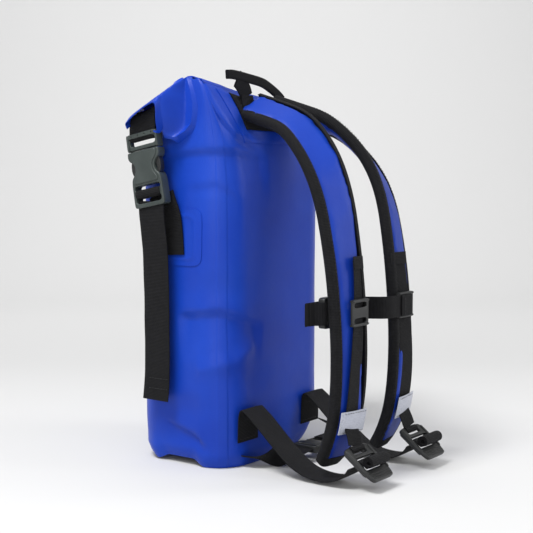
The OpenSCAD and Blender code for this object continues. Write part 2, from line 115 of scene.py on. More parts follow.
def bump(distance, radius):
    """1 at distance 0, falling smoothly to 0 at radius."""
    return (1 - smooth_step(abs(distance) / radius)) if abs(distance) < radius else 0.0


def finish_mesh(name, verts, faces, material, weave=None, sharp=35):
    """A mesh object; weave holds the place of each point in the flat webbing."""
    mesh = bpy.data.meshes.new(name)
    mesh.from_pydata([tuple(v) for v in verts], [], faces)
    mesh.validate()
    if weave is not None:
        attribute = mesh.attributes.new("weave", "FLOAT_VECTOR", "POINT")
        attribute.data.foreach_set("vector", np.array(weave, np.float32).ravel())
    mesh.materials.append(material)
    mesh.shade_smooth()
    mesh.set_sharp_from_angle(angle=math.radians(sharp))
    obj = bpy.data.objects.new(name, mesh)
    bpy.context.scene.collection.objects.link(obj)
    return obj


def flat(rows):
    return [p for row in rows for p in row]


def grid_faces(rows, columns, closed, first=0):
    """Faces between rows of points; closed joins the last column to the first."""
    faces = []
    for j in range(rows - 1):
        low, high = first + j * columns, first + (j + 1) * columns
        for i in range(columns if closed else columns - 1):
            m = (i + 1) % columns
            faces.append((low + i, low + m, high + m, high + i))
    return faces


def tube_faces(rows, columns, first=0):
    """Faces of a closed tube, with its two ends."""
    faces = grid_faces(rows, columns, True, first)
    faces.append(tuple(first + k for k in range(columns))[::-1])
    faces.append(tuple(first + (rows - 1) * columns + k for k in range(columns)))
    return faces


def outward(obj):
    """Turns every face outwards, island by island."""
    bm = bmesh.new()
    bm.from_mesh(obj.data)
    bmesh.ops.recalc_face_normals(bm, faces=bm.faces)
    bm.to_mesh(obj.data)
    bm.free()
    return obj


def tangents(path):
    """Direction of a run at each of its points."""
    out = []
    for i in range(len(path)):
        a, b = path[max(i - 1, 0)], path[min(i + 1, len(path) - 1)]
        out.append((b - a).normalized())
    return out


def ribbon(name, path, across, width, body, stands_for=(), thickness=None, step=0.003, slant=0.0, passes=3,
           ripple=0.0):
    """Webbing along a path. across is the direction of its width, one vector or one for each end."""
    t = thickness or web_t
    pts = resample(chaikin(path, passes), step)
    ends = across if len(across) == 2 else (across, across)
    a0, a1 = Vector(ends[0]).normalized(), Vector(ends[1]).normalized()
    columns = 9
    edge_thinning = 0.35
    section = [(-0.5 + k / (columns - 1), -0.5) for k in range(columns)]
    section += [(0.5 - k / (columns - 1), 0.5) for k in range(columns)]
    verts, weave = [], []
    length = 0.0
    for i, (p, tg) in enumerate(zip(pts, tangents(pts))):
        share = i / (len(pts) - 1)
        side = a0.lerp(a1, share)
        side = (side - tg * side.dot(tg)).normalized()
        up = tg.cross(side)
        if i:
            length += (p - pts[i - 1]).length
        slanted = slant * smooth_step((share - 0.9) / 0.1)
        for s, h in section:
            round_off = 1 - (edge_thinning if abs(s) > 0.49 else 0.0)
            wave = ripple * noise.noise(Vector((s * 1.5, length * 40, 3.1)))
            out = h * t * round_off + wave
            verts.append(p + side * (s * width) + up * out + tg * (slanted * s * width))
            weave.append((s * width, length, h * t))
    faces = tube_faces(len(pts), len(section))
    obj = outward(finish_mesh(name, verts, faces, black_web, weave, sharp=50))
    return piece(obj, body, stands_for)


def piece(obj, body=None, stands_for=()):
    """Says which CAD nodes an object replaces and the body it rides on."""
    if stands_for:
        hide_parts(*([stands_for] if isinstance(stands_for, str) else stands_for))
    if body:
        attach(obj, body)
    return obj


# How far from a corner of a moulded outline its rounding starts
CORNER_CUT = 0.0022


def box_outline(x0, y0, x1, y1):
    return [(x0, y0), (x1, y0), (x1, y1), (x0, y1)]


def plate(name, outline, holes, thickness, bevel, material, place, body, stands_for=(), rounding=2):
    """A moulded plate: an outline with holes and softened edges, drawn in its own X-Y plane."""
    curve = bpy.data.curves.new(name, "CURVE")
    curve.dimensions = "2D"
    curve.fill_mode = "BOTH"
    curve.extrude = thickness / 2 - bevel
    curve.bevel_depth = bevel
    curve.bevel_resolution = 2
    curve.offset = -bevel
    for loop in [outline, *holes]:
        pts = [Vector((*p, 0)) for p in loop]
        for _ in range(rounding):
            cut = []
            for a, b in zip(pts, pts[1:] + pts[:1]):
                near = min(0.25, CORNER_CUT / max((b - a).length, 1e-6))
                cut += [a.lerp(b, near), a.lerp(b, 1 - near)]
            pts = cut
        spline = curve.splines.new("POLY")
        spline.points.add(len(pts) - 1)
        for q, p in zip(spline.points, pts):
            q.co = (p.x, p.y, 0, 1)
        spline.use_cyclic_u = True
    made = bpy.data.objects.new(name + "_curve", curve)
    bpy.context.scene.collection.objects.link(made)
    bpy.context.view_layer.update()
    mesh = bpy.data.meshes.new_from_object(made.evaluated_get(bpy.context.evaluated_depsgraph_get()))
    bpy.data.objects.remove(made)
    bpy.data.curves.remove(curve)
    mesh.name = name
    mesh.transform(place)
    mesh.materials.clear()
    mesh.materials.append(material)
    mesh.shade_smooth()
    mesh.set_sharp_from_angle(angle=math.radians(40))
    obj = bpy.data.objects.new(name, mesh)
    bpy.context.scene.collection.objects.link(obj)
    return piece(outward(obj), body, stands_for)


# ---- materials ----
class Shader:
    """A material with a few short ways of adding nodes."""

    def __init__(self, name, colour, roughness, specular, sheen=0.0):
        self.material = bpy.data.materials.new(name)
        self.material.use_nodes = True
        self.tree = self.material.node_tree
        self.surface = self.tree.nodes["Principled BSDF"]
        for key, value in (("Base Color", (*colour, 1)), ("Roughness", roughness),
                           ("Specular IOR Level", specular), ("Sheen Weight", sheen),
                           ("Sheen Roughness", 0.4)):
            self.surface.inputs[key].default_value = value
        self.height = None

    def node(self, kind, **settings):
        made = self.tree.nodes.new(kind)
        for key, value in settings.items():
            setattr(made, key, value)
        return made

    def link(self, a, b):
        self.tree.links.new(a, b)

    def place(self):
        return self.node("ShaderNodeTexCoord").outputs["Object"]

    def weave_place(self):
        return self.node("ShaderNodeAttribute", attribute_name="weave").outputs["Vector"]

    def noise(self, scale, detail):
        tex = self.node("ShaderNodeTexNoise")
        tex.inputs["Scale"].default_value = scale
        tex.inputs["Detail"].default_value = detail
        self.link(self.place(), tex.inputs["Vector"])
        return tex.outputs["Fac"]

    def waves(self, scale, direction, where, distortion):
        tex = self.node("ShaderNodeTexWave", wave_type="BANDS", bands_direction=direction)
        tex.inputs["Scale"].default_value = scale
        tex.inputs["Distortion"].default_value = distortion
        self.link(where, tex.inputs["Vector"])
        return tex.outputs["Fac"]

    def cells(self, scale):
        tex = self.node("ShaderNodeTexVoronoi", feature="DISTANCE_TO_EDGE")
        tex.inputs["Scale"].default_value = scale
        self.link(self.place(), tex.inputs["Vector"])
        return tex.outputs["Distance"]

    def math(self, operation, a, b):
        made = self.node("ShaderNodeMath", operation=operation)
        for socket, value in zip(made.inputs, (a, b)):
            if isinstance(value, (int, float)):
                socket.default_value = value
            else:
                self.link(value, socket)
        return made.outputs["Value"]

    def ramp(self, value, low, high, low_colour, high_colour):
        made = self.node("ShaderNodeValToRGB")
        made.color_ramp.elements[0].position = low
        made.color_ramp.elements[1].position = high
        made.color_ramp.elements[0].color = (*low_colour, 1)
        made.color_ramp.elements[1].color = (*high_colour, 1)
        self.link(value, made.inputs["Fac"])
        return made.outputs["Color"]

    def colour(self, value):
        self.link(value, self.surface.inputs["Base Color"])

    def roughness(self, value, low, high):
        made = self.node("ShaderNodeMapRange")
        made.inputs["To Min"].default_value = low
        made.inputs["To Max"].default_value = high
        self.link(value, made.inputs["Value"])
        self.link(made.outputs["Result"], self.surface.inputs["Roughness"])

    def relief(self, value, depth):
        made = self.node("ShaderNodeBump")
        made.inputs["Strength"].default_value = 1.0
        made.inputs["Distance"].default_value = depth
        self.link(value, made.inputs["Height"])
        if self.height is not None:
            self.link(self.height, made.inputs["Normal"])
        self.height = made.outputs["Normal"]
        self.link(self.height, self.surface.inputs["Normal"])


def coated_fabric(name, dark, light, roughness):
    """Satin PVC coating over a plain-woven scrim, which shows faintly through it."""
    s = Shader(name, light, roughness, specular=0.24)
    s.colour(s.ramp(s.noise(9, 4), 0.3, 0.75, dark, light))
    s.roughness(s.noise(26, 4), roughness - 0.07, roughness + 0.08)
    where = s.place()
    threads = s.math("ADD", s.waves(330, "Z", where, 0.4), s.waves(330, "X", where, 0.4))
    s.relief(threads, 0.000025)
    s.relief(s.noise(60, 3), 0.00035)
    return s.material


def webbing(name, colour, light):
    """Ribbed woven webbing: cross ribs and fine warp cords."""
    s = Shader(name, colour, 0.75, specular=0.16, sheen=0.03)
    where = s.weave_place()
    ribs = s.waves(190, "Y", where, 0.3)
    cords = s.waves(420, "X", where, 0.5)
    s.colour(s.ramp(s.math("MULTIPLY", ribs, s.noise(160, 3)), 0.1, 0.7, colour, light))
    s.relief(ribs, 0.00028)
    s.relief(cords, 0.00016)
    s.relief(s.noise(900, 2), 0.00008)
    return s.material


def moulded(name, colour, light, roughness=0.42):
    """Moulded plastic with a fine spark-eroded grain and slight handling wear."""
    s = Shader(name, colour, roughness, specular=0.5)
    s.colour(s.ramp(s.noise(45, 4), 0.35, 0.8, colour, light))
    s.roughness(s.noise(120, 3), roughness - 0.08, roughness + 0.12)
    s.relief(s.noise(1500, 2), 0.00006)
    return s.material


def knitted(name, colour, light):
    """Spacer mesh: small open cells."""
    s = Shader(name, colour, 0.85, specular=0.12, sheen=0.03)
    cells = s.cells(420)
    s.colour(s.ramp(cells, 0.02, 0.35, light, colour))
    s.relief(cells, -0.0006)
    return s.material


def matt_weave(name, colour, light):
    """Dense matt woven fabric, for the yoke and the bound edges."""
    s = Shader(name, colour, 0.8, specular=0.14, sheen=0.03)
    where = s.place()
    threads = s.math("ADD", s.waves(260, "Z", where, 0.6), s.waves(260, "X", where, 0.6))
    s.colour(s.ramp(s.math("MULTIPLY", threads, s.noise(90, 3)), 0.2, 1.0, colour, light))
    s.relief(threads, 0.00015)
    s.relief(s.noise(300, 3), 0.00015)
    return s.material


def reflective_tape(name):
    """Glass-bead tape with a faint honeycomb."""
    beads, joins = (0.50, 0.52, 0.60), (0.36, 0.38, 0.46)
    s = Shader(name, beads, 0.38, specular=0.6, sheen=0.1)
    cells = s.cells(330)
    s.colour(s.ramp(cells, 0.01, 0.08, joins, beads))
    s.surface.inputs["Metallic"].default_value = 0.25
    s.relief(cells, 0.00012)
    return s.material


def thread(name, colour):
    """Twisted sewing thread."""
    s = Shader(name, colour, 0.6, specular=0.3, sheen=0.3)
    s.relief(s.noise(2500, 2), 0.00008)
    return s.material


BLUE_DARK, BLUE_LIGHT = (0.003, 0.034, 0.36), (0.008, 0.056, 0.46)
pvc = coated_fabric("pvc_blue", BLUE_DARK, BLUE_LIGHT, 0.40)
pad_fabric = coated_fabric("pad_blue", (0.003, 0.030, 0.31), (0.007, 0.048, 0.40), 0.45)
black_web = webbing("webbing_black", (0.0035, 0.0035, 0.0045), (0.0125, 0.0125, 0.0145))
yoke_cloth = matt_weave("yoke_black", (0.003, 0.003, 0.004), (0.010, 0.010, 0.012))
plastic = moulded("buckle_grey", (0.030, 0.040, 0.038), (0.048, 0.060, 0.057))
dark_plastic = moulded("buckle_black", (0.008, 0.009, 0.0095), (0.015, 0.016, 0.017))
mesh_cloth = knitted("mesh_black", (0.004, 0.004, 0.005), (0.018, 0.018, 0.020))
silver = reflective_tape("reflective")
black_thread = thread("thread_black", (0.012, 0.012, 0.014))


# ---- stitching ----
# Spacing of the points that carry the stitches, and the gap from the end of a row to the edge
STITCH_STEP = 0.0008
STITCH_INSET = 0.003


def stitches(name, path, up, body, length=0.003, gap=0.0012, radius=0.00032, lift=0.0002):
    """A row of short raised stitches along a path; up is the direction they stand out in."""
    pts = resample(path, STITCH_STEP)
    tan = tangents(pts)
    ups = up if isinstance(up, list) else [Vector(up)] * len(pts)
    travelled = 0.0
    start = None
    runs = []
    for i in range(1, len(pts)):
        travelled += (pts[i] - pts[i - 1]).length
        if travelled % (length + gap) < length:
            start = i - 1 if start is None else start
        elif start is not None:
            runs.append((start, i - 1))
            start = None
    sides = 6
    verts, faces = [], []
    for a, b in runs:
        if b - a < 2:
            continue
        faces += tube_faces(b - a + 1, sides, len(verts))
        for i in range(a, b + 1):
            high = math.sin(math.pi * (i - a) / (b - a))
            n = ups[min(i, len(ups) - 1)].normalized()
            side = tan[i].cross(n).normalized()
            centre = pts[i] + n * (lift + radius * 0.6 * high)
            r = radius * (0.45 + 0.55 * high)
            for k in range(sides):
                angle = k * math.tau / sides
                verts.append(centre + side * (r * math.cos(angle)) + n * (r * math.sin(angle)))
    obj = outward(finish_mesh(name, verts, faces, black_thread))
    return piece(obj, body, ())


# ---- the bag's shell ----
# Levels of the shell: height, half width, back, front, corner radius
SHELL_LEVELS = [
    (0.000, half_w - 0.0050, -half_d + 0.005, half_d - 0.006, 0.043),
    (0.005, half_w - 0.0025, -half_d + 0.0025, half_d - 0.003, 0.044),
    (0.014, half_w, -half_d, half_d, 0.045),
    (0.200, half_w, -half_d, half_d, 0.045),
    (0.330, half_w, -half_d, half_d - 0.001, 0.044),
    (0.360, half_w - 0.001, -half_d + 0.003, half_d - 0.008, 0.040),
    (0.385, half_w - 0.002, -half_d + 0.009, half_d - 0.024, 0.034),
    (0.404, half_w - 0.003, -half_d + 0.016, 0.030, 0.024),
    (0.418, half_w - 0.004, -half_d + 0.023, 0.012, 0.015),
    (0.430, half_w - 0.005, -half_d + 0.029, 0.000, 0.010),
    (0.440, half_w - 0.006, -half_d + 0.035, -0.008, 0.007),
    (0.446, half_w - 0.007, -half_d + 0.041, -0.014, 0.005),
]
# The welded seam band: half its width, how far it sits past the corner's middle, its rise and its edge
SEAM_HALF = 0.0065
SEAM_AT = 0.0015
SEAM_RISE = 0.00055
SEAM_EDGE = 0.0008
# Lengths round the shell: a corner, a side, and the back or the front
ARC = math.pi / 2 * corner_r
SIDE = 2 * (half_d - corner_r)
FACE = 2 * (half_w - corner_r)
ROUND = 4 * ARC + 2 * SIDE + 2 * FACE


def shell_level(z):
    """Half width, back, front and corner radius at a height."""
    heights = [level[0] for level in SHELL_LEVELS]
    return [float(np.interp(z, heights, [level[k] for level in SHELL_LEVELS])) for k in range(1, 5)]


def perimeter_columns():
    """(segment, share, distance) of every column; distance runs from the middle of the near back corner."""
    seam = [SEAM_AT + d for d in (-SEAM_HALF - SEAM_EDGE, -SEAM_HALF, SEAM_HALF, SEAM_HALF + SEAM_EDGE)]

    def shares(count, extra=()):
        return sorted({k / count for k in range(count)} | set(extra))

    corner = [("near_back", t, (t - 0.5) * ARC) for t in shares(24, [0.5 + d / ARC for d in seam])]
    columns = [c for c in corner if c[1] >= 0.5]
    start = ARC / 2
    for segment, length, places in (
            ("near_side", SIDE, shares(20)), ("near_front", ARC, shares(22)), ("front", FACE, shares(36)),
            ("far_front", ARC, shares(22)), ("far_side", SIDE, shares(20)),
            ("far_back", ARC, shares(22, [0.5 - d / ARC for d in seam]))):
        columns += [(segment, t, start + t * length) for t in places]
        start += length
    columns += [("back", t, -(ARC / 2 + FACE) + t * FACE) for t in shares(40)]
    return columns + [c for c in corner if c[1] < 0.5]


def outline_point(segment, t, hw, back, front, r):
    """A point of the rounded outline and its outward direction."""
    corners = {
        "near_back": (-hw + r, back + r, 270, -90),
        "near_front": (-hw + r, front - r, 180, -90),
        "far_front": (hw - r, front - r, 90, -90),
        "far_back": (hw - r, back + r, 0, -90),
    }
    if segment in corners:
        cx, cy, start, turn = corners[segment]
        a = math.radians(start + turn * t)
        out = Vector((math.cos(a), math.sin(a), 0))
        return Vector((cx + r * math.cos(a), cy + r * math.sin(a), 0)), out
    if segment == "near_side":
        return Vector((-hw, back + r + t * (front - back - 2 * r), 0)), Vector((-1, 0, 0))
    if segment == "front":
        return Vector((-hw + r + t * 2 * (hw - r), front, 0)), Vector((0, 1, 0))
    if segment == "far_side":
        return Vector((hw, front - r - t * (front - back - 2 * r), 0)), Vector((1, 0, 0))
    return Vector((hw - r - t * 2 * (hw - r), back, 0)), Vector((0, -1, 0))


def unrolled_gap(s, other):
    """Distance round the shell from one place to another, the short way and with its sign."""
    d = (s - other) % ROUND
    return d - ROUND if d > ROUND / 2 else d


def ridge_line(s, z, a, b, width, height):
    """A crease from a to b: highest on the line, with straight flanks."""
    bx, bz = b[0] - a[0], b[1] - a[1]
    px, pz = unrolled_gap(s, a[0]), z - a[1]
    t = min(max((px * bx + pz * bz) / (bx * bx + bz * bz), 0), 1)
    d = math.hypot(px - bx * t, pz - bz * t)
    if d > width:
        return 0.0
    fade = min(1.0, 4 * t + 0.15) * min(1.0, 4 * (1 - t) + 0.15)
    share = 1 - d / width
    return height * fade * (share ** 1.6)


def dimple(s, z, centre, radius_s, radius_z, depth):
    """A round dent."""
    d = math.hypot(unrolled_gap(s, centre[0]) / radius_s, (z - centre[1]) / radius_z)
    return -depth * bump(d, 1.0)


# How far above its line a tuck starts, and the length over which its ends fade
TUCK_LIP = 0.0100
TUCK_END = 0.018


def tuck(s, z, line, length, depth):
    """A crease drawn in under a line: deepest just below it, and coming back out over a length."""
    ends = (line[0][0], line[-1][0])
    inside = min(abs(unrolled_gap(s, ends[0])), abs(unrolled_gap(s, ends[1])))
    deepest = 0.0
    for (a_s, a_z), (b_s, b_z) in zip(line, line[1:]):
        t = unrolled_gap(s, a_s) / (b_s - a_s)
        if t < 0 or t > 1:
            continue
        under = a_z + (b_z - a_z) * t - z
        if under >= 0:
            share = max(0.0, 1 - under / length)
        else:
            share = smooth_step(1 + under / TUCK_LIP)
        deepest = min(deepest, -depth * share * smooth_step(inside / TUCK_END))
    return deepest


# Creases of the shell. Places are (distance from the near back corner, height) on the unrolled shell.
# Under the shoulder, a level crease and a curved one that meets it: line, length below it, depth
SHOULDER_TUCKS = (
    ([(0.095, 0.353), (0.027, 0.359), (-0.021, 0.359), (-0.079, 0.3555)], 0.048, 0.0042),
    ([(0.003, 0.432), (-0.011, 0.400), (-0.030, 0.377), (-0.079, 0.356)], 0.030, 0.0032),
)
TUCKS = (
    ([(0.052, 0.316), (0.008, 0.322), (-0.030, 0.300)], 0.070, 0.0018),
    ([(0.066, 0.170), (0.004, 0.177), (-0.064, 0.158)], 0.050, 0.0052),
    ([(0.088, 0.046), (0.043, 0.030), (0.014, 0.018)], 0.030, 0.0044),
)
# Raised folds: both ends, half width, height
RIDGES = (
    ((-0.050, 0.142), (-0.014, 0.124), 0.018, 0.0026),
    ((-0.014, 0.124), (0.038, 0.112), 0.018, 0.0028),
)
# Dents: middle, half width, half height, depth
DIMPLES = (
    ((-0.064, 0.392), 0.034, 0.030, 0.0036),
    ((0.010, 0.206), 0.070, 0.026, 0.0020),
    ((-0.045, 0.104), 0.045, 0.028, 0.0024),
    ((0.048, 0.066), 0.045, 0.026, 0.0024),
)
# The front and the far side carry creases of their own, placed from a middle and turned round
OTHER_PLACES = ((ARC / 2 + SIDE / 2 + FACE / 2 + ARC, 1), (ROUND / 2 + 0.03, -1))
OTHER_RIDGES = (
    ((-0.100, 0.335), (-0.020, 0.352), 0.020, 0.0030),
    ((-0.020, 0.352), (0.070, 0.330), 0.020, 0.0028),
    ((0.050, 0.090), (0.090, 0.045), 0.020, 0.0026),
)
OTHER_DIMPLES = (((0.010, 0.318), 0.050, 0.030, 0.0030),)
OTHER_TUCKS = (([(-0.070, 0.190), (0.000, 0.180), (0.060, 0.160)], 0.060, 0.0052),)


def creases(s, z, tucks, ridges, dimples):
    return (sum(tuck(s, z, *t) for t in tucks) + sum(ridge_line(s, z, *r) for r in ridges)
            + sum(dimple(s, z, *d) for d in dimples))


def relief_of(s, z):
    """How far the shell stands out from its smooth shape at a place."""
    h = min(tuck(s, z, *t) for t in SHOULDER_TUCKS) + creases(s, z, TUCKS, RIDGES, DIMPLES)
    for place, flip in OTHER_PLACES:
        h += creases(unrolled_gap(s, place) * flip, z, OTHER_TUCKS, OTHER_RIDGES, OTHER_DIMPLES)
    turn = s / ROUND * math.tau
    p = Vector((math.cos(turn) * 1.6, math.sin(turn) * 1.6, z * 9))
    return h + 0.0007 * noise.noise(p) + 0.0003 * noise.noise(p * 2.7)


def seam_height(s):
    """The welded band down the near and far back corners stands out a little."""
    far_corner = -(ARC + FACE)
    for centre in (SEAM_AT, far_corner - SEAM_AT):
        if abs(unrolled_gap(s, centre)) <= SEAM_HALF + 1e-5:
            return SEAM_RISE
    return 0.0


# The arch in the lower edge of each side: height, half width of its level part, width of its flanks
ARCH_HEIGHT = 0.0075
ARCH_HALF = 0.020
ARCH_FLANK = 0.022
NEAR_SIDE_MIDDLE = ARC / 2 + SIDE / 2
ARCH_MIDDLES = (NEAR_SIDE_MIDDLE, NEAR_SIDE_MIDDLE + 2 * ARC + FACE + SIDE)
# Corners that are pulled up: place round the shell, reach, height
PULLED_CORNERS = (
    (-(ARC + FACE) - 0.010, 0.090, 0.020),
    (ARC + SIDE + 0.012, 0.050, 0.006),
    (2 * ARC + SIDE + FACE, 0.060, 0.006),
)


def foot_lift(s):
    """The lower edge rises in an arch on each side, and the far back corner is pulled up."""
    lift = 0.0
    for middle in ARCH_MIDDLES:
        lift += ARCH_HEIGHT * (1 - smooth_step((abs(unrolled_gap(s, middle)) - ARCH_HALF) / ARCH_FLANK))
    for place, reach, height in PULLED_CORNERS:
        lift += height * bump(unrolled_gap(s, place), reach)
    return lift


# How far the closed top sags, from its near end to its far one
SAG_AT = (-0.100, -0.064, -0.044, 0.0, 0.040, 0.100)
SAG = (0, 0.005, 0.009, 0.014, 0.017, 0.022)
SAG_LOW = 0.380
SAG_DEEP = 0.069


def sink(p):
    """Moves a point down with the sag of the closed top."""
    p.z -= float(np.interp(p.x, SAG_AT, SAG)) * min(max((p.z - SAG_LOW) / SAG_DEEP, 0.0), 1.0)
    return p


def shell_point(column, z, inset=0.0):
    """A point of the shell at a column and a height."""
    segment, t, s = column
    hw, back, front, r = shell_level(z)
    p, out = outline_point(segment, t, hw - inset, back + inset, front - inset, max(r - inset, 0.001))
    fade = smooth_step(z / 0.03) * (1 - smooth_step((z - 0.405) / 0.035))
    seam_fade = 1 - smooth_step((z - 0.425) / 0.02)
    p += out * ((relief_of(s, z) - 0.0012) * fade + seam_height(s) * seam_fade)
    pull = foot_lift(s) * (1 - smooth_step(z / 0.060))
    p -= out * (pull * 0.35)
    p.z = z + pull
    return sink(p)


# Thickness of the hem round the foot
HEM = 0.0022


def make_shell():
    """The shell from its hem, turned in at the foot, up to the closed top."""
    columns = perimeter_columns()
    heights = [0.0, 0.002, 0.004, 0.007, 0.010, 0.014, 0.018, 0.023, 0.028]
    heights += list(np.arange(0.032, 0.400, 0.0036)) + list(np.arange(0.400, 0.4455, 0.0034)) + [0.446]
    rows = [[shell_point(c, 0.011, 0.006) for c in columns],
            [shell_point(c, 0.001, HEM) + Vector((0, 0, 0.0003)) for c in columns]]
    rows += [[shell_point(c, z) for c in columns] for z in heights]
    return outward(finish_mesh("bag_shell", flat(rows), tube_faces(len(rows), len(columns)), pvc, sharp=42))


shell = make_shell()
piece(shell, "bag", ("bag_body",))
shell_tree = BVHTree.FromPolygons(
    [v.co for v in shell.data.vertices], [tuple(p.vertices) for p in shell.data.polygons])


def on_shell(origin, direction, off):
    """The point where a ray meets the shell, moved off it along the ray."""
    hit = shell_tree.ray_cast(Vector(origin), Vector(direction), 0.3)[0]
    return hit - Vector(direction) * off


def sheet(name, rows, thickness_dir, material, sharp=40):
    """A thin sheet through a grid of points, given its thickness along a direction."""
    count, n = len(rows), len(rows[0])
    under = [p + Vector(thickness_dir) for p in flat(rows)]
    faces = grid_faces(count, n, False) + grid_faces(count, n, False, count * n)
    ring = [i for i in range(n)] + [j * n + n - 1 for j in range(1, count)]
    ring += [(count - 1) * n + i for i in range(n - 2, -1, -1)] + [j * n for j in range(count - 2, 0, -1)]
    for p, q in zip(ring, ring[1:] + ring[:1]):
        faces.append((p, q, q + count * n, p + count * n))
    return outward(finish_mesh(name, flat(rows) + under, faces, material, sharp=sharp))


# How deep the underside of a welded piece lies in the shell, and half the width of its raised rim
SUNK = 0.0008
RIM_REACH = 0.09


def decal(name, outline, origin_of, direction, thickness, material, cells, stands_for, rim, rim_at):
    """A thin welded or sewn piece that follows the shell. outline(a, b) maps the unit square to the piece."""
    rows = []
    for j in range(cells + 1):
        row = []
        for i in range(cells + 1):
            a, b = i / cells * 2 - 1, j / cells * 2 - 1
            high = thickness + rim * bump(max(abs(a), abs(b)) - rim_at, RIM_REACH)
            row.append(on_shell(origin_of(*outline(a, b)), direction, high))
        rows.append(row)
    obj = sheet(name, rows, Vector(direction) * (thickness + SUNK), material, 45)
    return piece(obj, "bag", stands_for)


def squircle(a, b, half_a, half_b, power=5.0):
    """Maps the square to a rounded rectangle."""
    r = max(abs(a), abs(b))
    if r < 1e-9:
        return 0.0, 0.0
    angle = math.atan2(b, a)
    c, s = math.cos(angle), math.sin(angle)
    k = (abs(c) ** power + abs(s) ** power) ** (-1 / power)
    return half_a * r * k * c, half_b * r * k * s


def make_side_patch(side_name):
    """Welded patch with an embossed inner outline."""
    x = SIDES[side_name]
    low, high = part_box("side_patch_" + side_name)
    mid_y, mid_z = (low.y + high.y) / 2, (low.z + high.z) / 2
    half_y, half_z = (high.y - low.y) / 2 - 0.002, (high.z - low.z) / 2 - 0.002

    def outline(a, b):
        return squircle(a, b, half_y, half_z, 7)

    def origin(dy, dz):
        return (x * 0.2, mid_y + dy, mid_z + dz)

    decal(f"side_patch_{side_name}_weld", outline, origin, (-x, 0, 0), 0.0009, pvc, 34,
          "side_patch_" + side_name, rim=0.0008, rim_at=0.74)


for side_name in SIDES:
    make_side_patch(side_name)


def back_piece(name, low_z, high_z, low_half, high_half, thickness, material, stands_for, rim):
    """A piece on the back, wider at its top than at its foot."""
    def outline(a, b):
        share = (b + 1) / 2
        return a * (low_half + (high_half - low_half) * share), low_z + (high_z - low_z) * share

    def origin(px, pz):
        return sink(Vector((px, -0.2, pz)))

    return decal(name, outline, origin, BACK, thickness, material, 30, stands_for, rim, rim_at=0.90)


back_piece("back_panel_weld", 0.374, 0.438, 0.057, 0.080, 0.0008, pvc, "harness_panel", 0.0005)
back_piece("yoke_sewn", 0.391, 0.437, 0.047, 0.058, 0.0026, yoke_cloth, "harness_yoke", 0.0009)


def squared(angle, power):
    """Cosine, sine and the factor that turns a circle into a rounded square."""
    c, s = math.cos(angle), math.sin(angle)
    return c, s, (abs(c) ** power + abs(s) ** power) ** (-1 / power)


# How far inside the shell the base sheet ends, its height, and its thickness
BASE_INSET = 0.0165
BASE_Z = 0.0108
BASE_THICK = 0.0014


def make_base():
    """Base sheet inside the hem, with its own welded edge and a slight sag."""
    rings, sides = 14, 96
    rows = []
    for j in range(rings + 1):
        share = 1 - j / rings * 0.985
        row = []
        for k in range(sides):
            c, s, q = squared(math.tau * k / sides, 4.2)
            px, py = (half_w - BASE_INSET) * share * q * c, (half_d - BASE_INSET) * share * q * s
            rim = 0.0012 * bump(share - 1, 0.12)
            z = BASE_Z + rim - 0.0016 * (1 - share) + 0.0004 * noise.noise(Vector((px, py, 0)) * 60)
            row.append(Vector((px, py, z)))
        rows.append(row)
    rows += [[p + UP * BASE_THICK for p in row] for row in reversed(rows)]
    faces = grid_faces(len(rows), sides, True)
    faces.append(tuple(rings * sides + k for k in range(sides)))
    faces.append(tuple((rings + 1) * sides + k for k in range(sides))[::-1])
    last = (len(rows) - 1) * sides
    for k in range(sides):
        m = (k + 1) % sides
        faces.append((last + k, last + m, m, k))
    obj = outward(finish_mesh("base_sheet", flat(rows), faces, pvc, sharp=45))
    piece(obj, "bag", "base_panel")


make_base()


def make_base_strap():
    """The strap under the base, which comes down from inside the hem on both sides."""
    low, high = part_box("base_strap")
    end = high.x
    drop = ((0, 0.0100), (0.014, 0.0092), (0.026, 0.0050), (0.045, 0.0010))
    path = [(d - end, 0, z) for d, z in drop] + [(end - d, 0, z) for d, z in reversed(drop)]
    ribbon("base_strap_web", path, BACK, high.y - low.y, "bag", "base_strap")


make_base_strap()


# ---- the rolled closure ----
# Each end of the roll is drawn down and out by its buckle, so its top runs down as a plane from a peak
PEAK = Vector((0.100, -0.011, 0.449))


# Slopes of that plane, forward and outward, and the level top behind it and over the roll
FALL_FORWARD = 0.50
FALL_OUTWARD = 0.54
TOP_BACK = 0.446
TOP_FRONT = 0.4395


def top_height(a, y):
    """Height of the closed top at a distance a from the middle, before it sags."""
    plane = PEAK.z - FALL_FORWARD * (y - PEAK.y) - FALL_OUTWARD * (a - PEAK.x)
    over = smooth_step((y + 0.036) / 0.050)
    crown = TOP_BACK + (TOP_FRONT - TOP_BACK) * over + 0.008 * bump(math.hypot(a - PEAK.x, y - PEAK.y), 0.024)
    low, high = min(plane, crown), max(plane, crown)
    return low - 0.0012 * (1 - smooth_step((high - low) / 0.006))


# The roll: half its length, half its depth, half its height, the height of its middle
ROLL_HALF = 0.104
ROLL_DEEP = 0.023
ROLL_TALL = 0.0155
ROLL_Z = 0.4240


